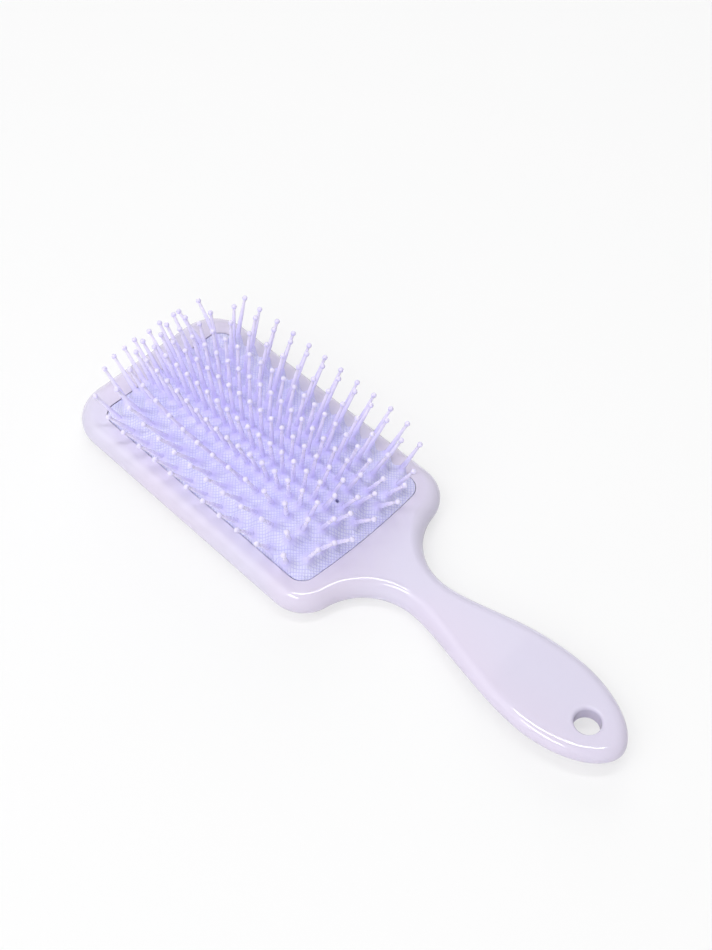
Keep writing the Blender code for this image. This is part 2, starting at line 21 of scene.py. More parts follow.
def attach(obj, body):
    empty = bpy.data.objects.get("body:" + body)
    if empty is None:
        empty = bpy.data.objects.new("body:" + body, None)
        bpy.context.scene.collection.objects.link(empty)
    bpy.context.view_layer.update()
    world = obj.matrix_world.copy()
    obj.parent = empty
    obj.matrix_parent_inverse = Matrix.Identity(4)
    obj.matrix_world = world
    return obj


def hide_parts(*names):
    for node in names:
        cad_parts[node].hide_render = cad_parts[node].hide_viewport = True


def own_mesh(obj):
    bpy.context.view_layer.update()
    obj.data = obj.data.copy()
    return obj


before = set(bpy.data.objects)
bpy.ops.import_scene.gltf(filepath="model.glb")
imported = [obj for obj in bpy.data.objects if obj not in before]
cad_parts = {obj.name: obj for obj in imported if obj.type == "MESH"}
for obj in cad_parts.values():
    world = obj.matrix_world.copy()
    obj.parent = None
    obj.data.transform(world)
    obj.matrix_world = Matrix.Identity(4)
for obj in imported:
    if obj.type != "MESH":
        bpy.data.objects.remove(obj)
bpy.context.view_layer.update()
LOG = logging.getLogger("brush")

Point = tuple[float, float]
Place = tuple[float, float, float]
Face = tuple[int, ...]
Colour = tuple[float, float, float, float]

QUARTER_TURN = math.pi / 2
FULL_TURN = 2 * math.pi
SAME_PLACE = 1e-7
SOFT_EDGE_DEGREES = 60.0


class Slot(Enum):
    """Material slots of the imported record."""

    BODY = "body_plastic"
    COVER = "cover_plastic"
    FRAME = "frame_plastic"
    CUSHION = "cushion_rubber"
    PIN = "pin_nylon"


class Cut(Enum):
    """What a cutter does to the object that it meets."""

    AWAY = "DIFFERENCE"
    JOINED = "UNION"
    SHARED = "INTERSECT"


def seen(red: int, green: int, blue: int) -> Colour:
    """Turn a colour as a screen shows it into the linear colour that a shader takes.

    The bare numbers are those of the standard screen curve.

    Args:
        red: Red, from 0 to 255.
        green: Green, from 0 to 255.
        blue: Blue, from 0 to 255.

    Returns:
        The linear colour with full opacity.
    """
    linear = []
    for level in (red, green, blue):
        part = level / 255
        linear.append(part / 12.92 if part <= 0.04045 else ((part + 0.055) / 1.055) ** 2.4)
    return (*linear, 1.0)


# Sizes and plan of the brush


@dataclass(frozen=True)
class BrushSizes:
    """Sizes that the looks share with the solids, in metres, and the shares that shape curves."""

    opening_width: float = 0.0630
    opening_length: float = 0.1134
    opening_corner: float = 0.0064
    opening_bow: float = 0.0011
    side_rim: float = 0.0087
    head_end_rim: float = 0.0128
    head_corner: float = 0.0170
    shoulder: float = 0.0147
    neck_fillet: float = 0.0240
    neck_width: float = 0.0164
    neck_reach: float = 0.0328
    grip_width: float = 0.0350
    grip_reach: float = 0.0575
    handle_length: float = 0.0898
    head_thickness: float = 0.0130
    top_heights: tuple[float, ...] = (0.0130, 0.0122, 0.0134, 0.0128)
    edge_heights: tuple[float, ...] = (0.0075, 0.0058, 0.0097, 0.0092)
    underside_heights: tuple[float, ...] = (0.0, 0.0004, 0.0054, 0.0056)
    top_rounding: float = 0.0055
    back_rounding: float = 0.0122
    grip_rounding: float = 0.0048
    hole_diameter: float = 0.0096
    hole_from_tip: float = 0.0154
    hole_rim: float = 0.0013
    front_wall: float = 0.0024
    cover_wall: float = 0.0018
    cover_ledge: float = 0.0016
    cover_skirt_wall: float = 0.0016
    cover_rim_height: float = 0.0034
    clearance: float = 0.0003
    cushion_wall: float = 0.0012
    lip_frame_width: float = 0.0030
    lip_frame_thickness: float = 0.0020
    grip_start_share: float = 0.24
    grip_end_share: float = 0.42
    tip_roundness: float = 1.9
    grip_high_share: float = 0.70
    neck_rounding_share: float = 0.60
    neck_back_share: float = 0.80

    @property
    def half_x(self) -> float:
        """Half the opening's width."""
        return self.opening_width / 2

    @property
    def half_y(self) -> float:
        """Half the opening's length."""
        return self.opening_length / 2

    @property
    def half_head(self) -> float:
        """Half the head's width."""
        return self.half_x + self.side_rim

    @property
    def head_end(self) -> float:
        """The head's end, from the middle of the cushion."""
        return self.half_y + self.head_end_rim

    @property
    def neck_y(self) -> float:
        """The narrowest place of the neck, from the middle of the cushion."""
        return -self.half_y - self.neck_reach

    @property
    def tip_y(self) -> float:
        """The handle's tip, from the middle of the cushion."""
        return self.neck_y - self.handle_length

    @property
    def cushion_y(self) -> float:
        """The middle of the cushion, from the middle of the brush."""
        return -(self.head_end + self.tip_y) / 2

    @property
    def cavity_out(self) -> float:
        """How far the space under the cushion reaches outside the opening."""
        return self.lip_frame_width + self.clearance

    @property
    def cover_out(self) -> float:
        """How far the back cover reaches outside the opening."""
        return self.cavity_out + self.cover_ledge - self.clearance

    @property
    def skirt_top(self) -> float:
        """Height of the cover's skirt, just under the frame that clamps the cushion's lip."""
        lip = self.head_thickness - self.front_wall - self.clearance
        return lip - self.cushion_wall - self.lip_frame_thickness - 2 * self.clearance


def arc(centre: Point, radius: float, start: float, end: float, steps: int) -> list[Point]:
    """Points along an arc.

    Args:
        centre: Middle of the arc.
        radius: Its radius.
        start: Angle at which it starts.
        end: Angle at which it ends.
        steps: Number of chords.

    Returns:
        The points, both ends included.
    """
    turns = [start + (end - start) * step / steps for step in range(steps + 1)]
    return [(centre[0] + radius * math.cos(a), centre[1] + radius * math.sin(a)) for a in turns]


def circle(centre: Point, radius: float, steps: int, turn: float = 0.0) -> list[Point]:
    """Points round a whole circle, the first of them at the angle turn."""
    return arc(centre, radius, turn, turn + FULL_TURN, steps)[:-1]


def ease(low: float, high: float, value: float) -> float:
    """Smooth share of the way that value is from low to high, from 0 to 1."""
    share = min(1.0, max(0.0, (value - low) / (high - low)))
    return share * share * (3 - 2 * share)


@dataclass(frozen=True)
class BrushPlan:
    """Outlines and heights of the frame and handle, and the chords that draw their curves."""

    sizes: BrushSizes
    end_steps: int = 8
    head_steps: int = 26
    side_steps: int = 30
    shoulder_steps: int = 22
    neck_steps: int = 26
    grip_steps: int = 44
    tip_steps: int = 40

    def opening(self, out: float, corner_steps: int = 18, bow_steps: int = 24) -> list[Point]:
        """Closed outline of the opening, clockwise seen from above.

        Args:
            out: How far the outline is moved outwards.
            corner_steps: Chords in each corner.
            bow_steps: Chords along the bowed end next to the handle.

        Returns:
            The outline's points.
        """
        s = self.sizes
        half_x, half_y, radius = s.half_x + out, s.half_y + out, s.opening_corner + out
        inner_x, inner_y = half_x - radius, half_y - radius
        quarter = QUARTER_TURN
        points = arc((-inner_x, inner_y), radius, 2 * quarter, quarter, corner_steps)
        points += arc((inner_x, inner_y), radius, quarter, 0, corner_steps)
        points += arc((inner_x, -inner_y), radius, 0, -quarter, corner_steps)
        for step in range(1, bow_steps):
            x = inner_x - 2 * inner_x * step / bow_steps
            points.append((x, -half_y - s.opening_bow * (1 - (x / inner_x) ** 2)))
        points += arc((-inner_x, -inner_y), radius, -quarter, -2 * quarter, corner_steps)
        return [(x, y + s.cushion_y) for x, y in points]

    def body_half(self) -> list[Point]:
        """Right half of the frame and handle's outline.

        Returns:
            The outline's points, from the head's end to the handle's tip.
        """
        s = self.sizes
        head_x = s.half_head - s.head_corner
        corner_y = s.head_end - s.head_corner
        gap = s.half_head - s.shoulder - s.neck_width / 2 - s.neck_fillet
        shoulder_y = s.neck_y + math.sqrt((s.shoulder + s.neck_fillet) ** 2 - gap ** 2)
        points = [(head_x * step / self.end_steps, s.head_end) for step in range(self.end_steps)]
        points += arc((head_x, corner_y), s.head_corner, QUARTER_TURN, 0, self.head_steps)
        for step in range(1, self.side_steps):
            y = corner_y + (shoulder_y - corner_y) * step / self.side_steps
            points.append((s.half_head, y))
        shoulder_x = s.half_head - s.shoulder
        neck_x = s.neck_width / 2 + s.neck_fillet
        turn = math.atan2(s.neck_y - shoulder_y, neck_x - shoulder_x)
        points += arc((shoulder_x, shoulder_y), s.shoulder, 0, turn, self.shoulder_steps)
        neck = arc((neck_x, s.neck_y), s.neck_fillet, turn + math.pi, math.pi, self.neck_steps)
        points += neck[1:]
        return [(x, y + s.cushion_y) for x, y in points + self.grip_half(points[-1])]

    def grip_half(self, start: Point) -> list[Point]:
        """Right half of the handle's outline, from the neck to the tip.

        Args:
            start: Last point of the neck.

        Returns:
            The points after it.
        """
        s = self.sizes
        end = (s.grip_width / 2, s.neck_y - s.grip_reach)
        low = (start[0], start[1] - s.grip_start_share * s.grip_reach)
        high = (end[0], end[1] + s.grip_end_share * s.grip_reach)
        points = []
        for step in range(1, self.grip_steps + 1):
            t = step / self.grip_steps
            weights = ((1 - t) ** 3, 3 * t * (1 - t) ** 2, 3 * t * t * (1 - t), t ** 3)
            pulls = list(zip(weights, (start, low, high, end)))
            points.append(tuple(sum(w * knot[axis] for w, knot in pulls) for axis in (0, 1)))
        power = 2 / s.tip_roundness
        for step in range(1, self.tip_steps):
            angle = QUARTER_TURN * step / self.tip_steps
            reach = (end[1] - s.tip_y) * math.sin(angle) ** power
            points.append((end[0] * math.cos(angle) ** power, end[1] - reach))
        return points + [(0.0, s.tip_y)]

    def along(self, y: float, heights: tuple[float, ...]) -> float:
        """Value that eases from head to neck to grip to tip.

        Args:
            y: Place along the brush.
            heights: The four values, from head to tip.

        Returns:
            The value at y.
        """
        s = self.sizes
        head, neck, grip, tip = heights
        neck_y = s.neck_y + s.cushion_y
        grip_y = neck_y - s.grip_high_share * s.grip_reach
        if y >= neck_y:
            return neck + (head - neck) * ease(neck_y, s.cushion_y - s.half_y, y)
        if y >= grip_y:
            return grip + (neck - grip) * ease(grip_y, neck_y, y)
        return tip + (grip - tip) * ease(s.tip_y + s.cushion_y, grip_y, y)

    def top(self, y: float) -> float:
        """Height of the top face at y."""
        return self.along(y, self.sizes.top_heights)

    def underside(self, y: float) -> float:
        """Height of the underside at y."""
        return self.along(y, self.sizes.underside_heights)

    def inset(self, y: float, on_top: bool) -> float:
        """How far the rounding of the body's edge reaches inwards.

        Args:
            y: Place along the brush.
            on_top: Whether it is the top edge and not the back edge.

        Returns:
            The reach at y.
        """
        s = self.sizes
        head = s.top_rounding if on_top else s.back_rounding
        share = s.neck_rounding_share if on_top else s.neck_back_share
        neck = share * s.neck_width / 2
        return self.along(y, (head, neck, s.grip_rounding, s.grip_rounding))

    def rib(self, point: Point, inwards: Vector, steps: int = 14) -> list[Place]:
        """One rib of the half body, from the middle of the top round the edge to the middle below.

        Args:
            point: Place on the outline.
            inwards: Direction square to the outline, towards the inside.
            steps: Chords in each of the two roundings.

        Returns:
            The rib's points.
        """
        rib = []
        for step in range(2 * steps + 1):
            angle = QUARTER_TURN * (1 - step / steps)
            on_top = step <= steps
            inset = self.inset(point[1], on_top)
            place = Vector(point) + inwards * inset * (1 - math.cos(angle))
            edge = self.along(place.y, self.sizes.edge_heights)
            limit = self.top(place.y) if on_top else self.underside(place.y)
            rib.append((max(place.x, 0.0), place.y, edge + (limit - edge) * abs(math.sin(angle))))
        first = (0.0, rib[0][1], self.top(rib[0][1]))
        last = (0.0, rib[-1][1], self.underside(rib[-1][1]))
        return [first] + rib + [last]


# Shader node helpers and the groups that the finishes share


class NodeSheet:
    """Adds, sets and joins the nodes of one node tree."""

    def __init__(self, tree: bpy.types.NodeTree) -> None:
        """Start from an empty tree."""
        self.tree = tree
        tree.nodes.clear()

    def add(self, kind: str, values: dict | None = None, **settings: object) -> bpy.types.Node:
        """Add a node.

        Args:
            kind: Blender's name for the node's type.
            values: Input values or the sockets that feed them, by input name or number.
            settings: Properties of the node.

        Returns:
            The new node.
        """
        node = self.tree.nodes.new(kind)
        for name, value in settings.items():
            setattr(node, name, value)
        for name, value in (values or {}).items():
            if isinstance(value, bpy.types.NodeSocket):
                self.tree.links.new(value, node.inputs[name])
            else:
                node.inputs[name].default_value = value
        return node

    def maths(self, operation: str, first: object, second: object = 0.0) -> bpy.types.NodeSocket:
        """Add a Math node and return its result."""
        node = self.add("ShaderNodeMath", {0: first, 1: second}, operation=operation)
        return node.outputs[0]

    def blend(self, share: object, first: object, second: object) -> bpy.types.NodeSocket:
        """Add a colour Mix node and return its result."""
        node = self.add("ShaderNodeMix", {0: share, 6: first, 7: second}, data_type="RGBA")
        return node.outputs[2]

    def noise(self, where: object, scale: object, detail: float) -> bpy.types.NodeSocket:
        """Add a Noise Texture node and return its value."""
        inputs = {"Vector": where, "Scale": scale, "Detail": detail}
        return self.add("ShaderNodeTexNoise", inputs).outputs[0]

    def ramp(
        self, value: object, span: Point, ends: tuple = (0.0, 1.0), kind: str = "LINEAR"
    ) -> bpy.types.NodeSocket:
        """Add a Map Range node.

        Args:
            value: What goes in.
            span: Where the ramp starts and ends.
            ends: What comes out at those two: numbers or sockets.
            kind: Blender's name for the form of the ramp.

        Returns:
            The node's result.
        """
        inputs = {"Value": value, "From Min": span[0], "From Max": span[1]}
        inputs.update({"To Min": ends[0], "To Max": ends[1]})
        return self.add("ShaderNodeMapRange", inputs, interpolation_type=kind).outputs[0]


@dataclass(frozen=True)
class GroupSheet:
    """A new shader node group: its sheet, its inputs and the place on the object."""

    sheet: NodeSheet
    given: bpy.types.NodeOutputs
    where: bpy.types.NodeSocket

    def noise(self, size: str, detail: float) -> bpy.types.NodeSocket:
        """Noise over the object, of the size in metres that a named input gives."""
        scale = self.sheet.maths("DIVIDE", 1.0, self.given[size])
        return self.sheet.noise(self.where, scale, detail)


def new_group(name: str, inputs: dict[str, object], outputs: dict[str, str]) -> GroupSheet:
    """Start a shader node group with named sockets.

    Args:
        name: Name of the group.
        inputs: Default value of each input: a number or a colour.
        outputs: Socket type of each output.

    Returns:
        The group, ready for its nodes.
    """
    tree = bpy.data.node_groups.new(name, "ShaderNodeTree")
    for label, default in inputs.items():
        kind = "NodeSocketFloat" if isinstance(default, float) else "NodeSocketColor"
        socket = tree.interface.new_socket(label, in_out="INPUT", socket_type=kind)
        socket.default_value = default
    for label, kind in outputs.items():
        tree.interface.new_socket(label, in_out="OUTPUT", socket_type=kind)
    sheet = NodeSheet(tree)
    given = sheet.add("NodeGroupInput").outputs
    return GroupSheet(sheet, given, sheet.add("ShaderNodeTexCoord").outputs["Object"])


@dataclass
class SharedGroups:
    """Shader node groups that more than one finish uses, each built once.

    A span is the part of a noise's or a wave's range that a ramp runs over.
    """

    cloud_span: Point = (0.35, 0.65)
    drift_span: Point = (0.38, 0.62)
    groove_span: Point = (0.0, 0.55)
    wobble_scale: float = 90.0
    wobble_width: float = 0.0009

    def __post_init__(self) -> None:
        """Build the groups."""
        self.grain = self.moulding_grain()
        self.drift = self.colour_drift()
        self.emboss = self.embossed_grid()

    def moulding_grain(self) -> bpy.types.NodeTree:
        """Fine unevenness of a moulded surface, as a height and a roughness that varies with it.

        Returns:
            The group.
        """
        inputs = {"Grain Size": 0.001, "Cloud Size": 0.02, "Smoothest": 0.1, "Roughest": 0.2}
        outputs = {"Height": "NodeSocketFloat", "Roughness": "NodeSocketFloat"}
        made = new_group("moulding_grain", inputs, outputs)
        sheet, given = made.sheet, made.given
        grain = made.noise("Grain Size", 3.0)
        cloud = made.noise("Cloud Size", 2.0)
        mean = sheet.maths("MULTIPLY", sheet.maths("ADD", grain, cloud), 0.5)
        rough = sheet.ramp(mean, self.cloud_span, (given["Smoothest"], given["Roughest"]))
        sheet.add("NodeGroupOutput", {"Height": grain, "Roughness": rough})
        return sheet.tree

    def colour_drift(self) -> bpy.types.NodeTree:
        """Slow change from one colour to another over the surface.

        Returns:
            The group.
        """
        white = (1.0, 1.0, 1.0, 1.0)
        inputs = {"Colour": white, "Drifted": white, "Patch Size": 0.03}
        made = new_group("colour_drift", inputs, {"Colour": "NodeSocketColor"})
        sheet, given = made.sheet, made.given
        share = sheet.ramp(made.noise("Patch Size", 1.0), self.drift_span, kind="SMOOTHSTEP")
        colour = sheet.blend(share, given["Colour"], given["Drifted"])
        sheet.add("NodeGroupOutput", {"Colour": colour})
        return sheet.tree

    def embossed_grid(self) -> bpy.types.NodeTree:
        """Small raised squares between thin grooves that cross the brush at 45 degrees.

        A slight wobble keeps the grooves from being dead straight. The second output marks the
        grooves, where the rubber takes painted shade.

        Returns:
            The group.
        """
        inputs = {"Pitch": 0.00105, "Plain": 0.0}
        outputs = {"Height": "NodeSocketFloat", "Groove Shade": "NodeSocketFloat"}
        made = new_group("embossed_grid", inputs, outputs)
        sheet, given = made.sheet, made.given
        wobble = sheet.maths("SUBTRACT", sheet.noise(made.where, self.wobble_scale, 1.0), 0.5)
        shift = sheet.maths("MULTIPLY", wobble, self.wobble_width)
        flat = sheet.add("ShaderNodeSeparateXYZ", {0: made.where}).outputs
        waves = []
        for operation in ("ADD", "SUBTRACT"):
            run = sheet.maths("ADD", sheet.maths(operation, flat["X"], flat["Y"]), shift)
            pitches = sheet.maths("DIVIDE", run, given["Pitch"])
            phase = sheet.maths("MULTIPLY", pitches, math.pi / math.sqrt(2))
            waves.append(sheet.maths("ABSOLUTE", sheet.maths("SINE", phase)))
        square = sheet.ramp(sheet.maths("MINIMUM", *waves), self.groove_span, kind="SMOOTHSTEP")
        keep = sheet.maths("SUBTRACT", 1.0, given["Plain"])
        height = sheet.maths("MULTIPLY", square, keep)
        # painted shade mask: 1 down in the grooves, where the rubber's colour is darkened
        groove = sheet.maths("MULTIPLY", sheet.maths("SUBTRACT", 1.0, square), keep)
        sheet.add("NodeGroupOutput", {"Height": height, "Groove Shade": groove})
        return sheet.tree


# Finishes


class Finish:
    """A material in the making, with its Principled shader and the shared groups at hand."""

    def __init__(self, name: str, groups: SharedGroups) -> None:
        """Start a named material with a Principled shader on its surface.

        Args:
            name: Name of the material.
            groups: The shared node groups.
        """
        self.material = bpy.data.materials.new(name)
        self.material.use_nodes = True
        self.sheet = NodeSheet(self.material.node_tree)
        self.groups = groups
        self.shader = self.sheet.add("ShaderNodeBsdfPrincipled")
        self.sheet.add("ShaderNodeOutputMaterial", {"Surface": self.shader.outputs[0]})

    def group(self, tree: bpy.types.NodeTree, values: dict) -> bpy.types.NodeOutputs:
        """Place a shared group and return its outputs."""
        return self.sheet.add("ShaderNodeGroup", values, node_tree=tree).outputs

    def feed(self, label: str, socket: bpy.types.NodeSocket) -> None:
        """Join a socket to one of the shader's inputs."""
        self.sheet.tree.links.new(socket, self.shader.inputs[label])

    def plain(self, **values: object) -> None:
        """Set shader inputs that are the same all over, by their names with low dashes."""
        for label, value in values.items():
            self.shader.inputs[label.replace("_", " ")].default_value = value

    def drifting(self, colour: Colour, drifted: Colour, size: float) -> bpy.types.NodeSocket:
        """Colour that changes slowly into another over patches of a size."""
        values = {"Colour": colour, "Drifted": drifted, "Patch Size": size}
        return self.group(self.groups.drift, values)["Colour"]

    def roughen(self, size: float, smoothest: float, roughest: float) -> bpy.types.NodeSocket:
        """Feed the shader's roughness from the shared grain.

        Args:
            size: Size of the grain in metres.
            smoothest: Least roughness.
            roughest: Greatest roughness.

        Returns:
            The grain's height.
        """
        values = {"Grain Size": size, "Smoothest": smoothest, "Roughest": roughest}
        uneven = self.group(self.groups.grain, values)
        self.feed("Roughness", uneven["Roughness"])
        return uneven["Height"]

    def bump(self, height: bpy.types.NodeSocket, depth: float) -> None:
        """Feed the shader's normal from a height, where 1 stands for a depth in metres."""
        inputs = {"Distance": depth, "Height": height}
        self.feed("Normal", self.sheet.add("ShaderNodeBump", inputs).outputs[0])

    def attribute(self, name: str) -> bpy.types.NodeSocket:
        """Value of a named attribute of the mesh."""
        return self.sheet.add("ShaderNodeAttribute", attribute_name=name).outputs["Fac"]


@dataclass(frozen=True)
class PlasticFinish:
    """Smooth moulded plastic."""

    name: str
    colour: Colour
    drifted: Colour
    patch_size: float = 0.045
    smoothest: float = 0.04
    roughest: float = 0.06
    grain_size: float = 0.0016
    grain_depth: float = 0.000004
    ior: float = 1.49

    def make(self, groups: SharedGroups) -> bpy.types.Material:
        """Build the material.

        Args:
            groups: The shared node groups.

        Returns:
            The material.
        """
        made = Finish(self.name, groups)
        made.feed("Base Color", made.drifting(self.colour, self.drifted, self.patch_size))
        grain = made.roughen(self.grain_size, self.smoothest, self.roughest)
        made.bump(grain, self.grain_depth)
        made.plain(IOR=self.ior)
        return made.material


@dataclass(frozen=True)
class RubberFinish:
    """Soft rubber of the cushion, embossed with a grid of small squares and painted shade in its
    grooves.
    """

    name: str = "embossed lilac rubber"
    colour: Colour = seen(228, 227, 255)
    drifted: Colour = seen(222, 221, 255)
    # painted shade: darker violet laid into the grooves between the raised squares
    groove_shade_colour: Colour = seen(176, 171, 242)
    root_colour: Colour = seen(213, 205, 255)
    patch_size: float = 0.012
    pitch: float = 0.00105
    depth: float = 0.00014
    # how far the grooves are darkened towards that painted shade colour
    groove_shade_share: float = 0.55
    smoothest: float = 0.45
    roughest: float = 0.6
    grain_size: float = 0.0006
    ior: float = 1.47

    def make(self, groups: SharedGroups) -> bpy.types.Material:
        """Build the material. The mesh attribute pin_root is 1 where the rubber is plain and taut.

        Args:
            groups: The shared node groups.

        Returns:
            The material.
        """
        made = Finish(self.name, groups)
        root = made.attribute("pin_root")
        grid = made.group(groups.emboss, {"Pitch": self.pitch, "Plain": root})
        face = made.drifting(self.colour, self.drifted, self.patch_size)
        # painted shade in the grooves, left out where the rubber is plain at the pin roots
        share = made.sheet.maths("MULTIPLY", grid["Groove Shade"], self.groove_shade_share)
        grooved = made.sheet.blend(share, face, self.groove_shade_colour)
        made.feed("Base Color", made.sheet.blend(root, grooved, self.root_colour))
        made.roughen(self.grain_size, self.smoothest, self.roughest)
        made.bump(grid["Height"], self.depth)
        made.plain(IOR=self.ior)
        return made.material


@dataclass(frozen=True)
class PinFinish:
    """Smooth nylon of the pins, with paler beads at their tips and painted shade low on the stems.
    """

    name: str = "lilac nylon"
    stem_colour: Colour = seen(247, 241, 255)
    # painted shade: each stem's foot is darker and more violet, as if down among the pins where
    # shade falls
    root_colour: Colour = seen(222, 216, 255)
    bead_colour: Colour = seen(230, 224, 252)
    rise_power: float = 2.0
    smoothest: float = 0.22
    roughest: float = 0.32
    grain_size: float = 0.0012
    ior: float = 1.35

    def make(self, groups: SharedGroups) -> bpy.types.Material:
        """Build the material. The mesh's bead is 1 at the tips, its rise goes up a stem to 1.

        Args:
            groups: The shared node groups.

        Returns:
            The material.
        """
        made = Finish(self.name, groups)
        # painted shade: each stem darkens from the stem colour to the root colour towards its foot
        rise = made.sheet.maths("POWER", made.attribute("rise"), self.rise_power)
        stem = made.sheet.blend(rise, self.root_colour, self.stem_colour)
        made.feed("Base Color", made.sheet.blend(made.attribute("bead"), stem, self.bead_colour))
        made.roughen(self.grain_size, self.smoothest, self.roughest)
        made.plain(IOR=self.ior)
        return made.material


# Mesh helpers


def link(made: bpy.types.Object) -> bpy.types.Object:
    """Put an object into the scene and return it."""
    bpy.context.scene.collection.objects.link(made)
    return made


def mesh_object(name: str, places: list, faces: list) -> bpy.types.Object:
    """Make an object from points and faces, facing outwards.

    Args:
        name: Name of the object.
        places: Its points.
        faces: Point numbers of each face.

    Returns:
        The object, in the scene.
    """
    mesh = bpy.data.meshes.new(name)
    mesh.from_pydata(places, [], faces)
    work = bmesh.new()
    work.from_mesh(mesh)
    bmesh.ops.remove_doubles(work, verts=work.verts, dist=SAME_PLACE)
    bmesh.ops.recalc_face_normals(work, faces=work.faces)
    work.to_mesh(mesh)
    work.free()
    return link(bpy.data.objects.new(name, mesh))


def stacked(name: str, rings: list[list[Place]]) -> bpy.types.Object:
    """Closed solid on rings of equal length, with a flat face at each end.

    Args:
        name: Name of the object.
        rings: The rings, from one end to the other.

    Returns:
        The object, in the scene.
    """
    size = len(rings[0])
    places = [place for ring in rings for place in ring]
    faces = [tuple(range(size)), tuple(range(len(places) - size, len(places)))]
    for row in range(len(rings) - 1):
        for i in range(size):
            after = (i + 1) % size
            low = row * size
            faces.append((low + i, low + after, low + size + after, low + size + i))
    return mesh_object(name, places, faces)


def band(first: int, second: int, count: int) -> list[Face]:
    """Faces between two closed loops of places.

    Args:
        first: Number of the first loop's first place.
        second: Number of the second loop's first place.
        count: How many places each loop has.

    Returns:
        The faces.
    """
    steps = [(i - 1 if i else count - 1, i) for i in range(count)]
    return [(first + a, first + b, second + b, second + a) for a, b in steps]


def filled(points: list, loops: list[range]) -> list[Face]:
    """Triangles between points, with closed loops of edges among them.

    Args:
        points: The points, those inside the loops too.
        loops: Point numbers of each loop.

    Returns:
        Point numbers of each triangle, those in a hole among them.
    """
    edges = [(loop[i - 1], loop[i]) for loop in loops for i in range(len(loop))]
    made = delaunay_2d_cdt([Vector(point) for point in points], edges, [], 1, SAME_PLACE)
    return [tuple(made[3][corner][0] for corner in face) for face in made[2]]


def smooth(made: bpy.types.Object, degrees: float) -> None:
    """Shade an object smooth, with sharp edges where its faces turn more than the angle."""
    made.data.shade_smooth()
    made.data.set_sharp_from_angle(angle=math.radians(degrees))


def marked_object(name: str, places: list, faces: list[Face], marks: dict) -> bpy.types.Object:
    """Make a smooth object from points and faces, with named values at its points.

    Args:
        name: Name of the object.
        places: Its points.
        faces: Point numbers of each face.
        marks: The values at its points, by attribute name.

    Returns:
        The object, in the scene.
    """
    mesh = bpy.data.meshes.new(name)
    mesh.from_pydata(places, [], faces)
    mesh.validate()
    for label, values in marks.items():
        mesh.attributes.new(label, "FLOAT", "POINT").data.foreach_set("value", values)
    made = link(bpy.data.objects.new(name, mesh))
    smooth(made, SOFT_EDGE_DEGREES)
    return made


def settle(made: bpy.types.Object) -> None:
    """Turn an object's modifiers into its mesh.

    Args:
        made: The object, left with no modifiers.
    """
    graph = bpy.context.evaluated_depsgraph_get()
    mesh = bpy.data.meshes.new_from_object(made.evaluated_get(graph))
    mesh.name = made.name
    made.modifiers.clear()
    made.data = mesh


def finish_piece(
    made: bpy.types.Object, material: bpy.types.Material, body: str
) -> None:
    """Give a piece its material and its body.

    Args:
        made: The piece.
        material: Its material.
        body: CAD body that it moves with.
    """
    made.data.materials.clear()
    made.data.materials.append(material)
    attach(made, body)
    LOG.info("%s: %d faces, on %s", made.name, len(made.data.polygons), body)


# Frame, handle and back cover


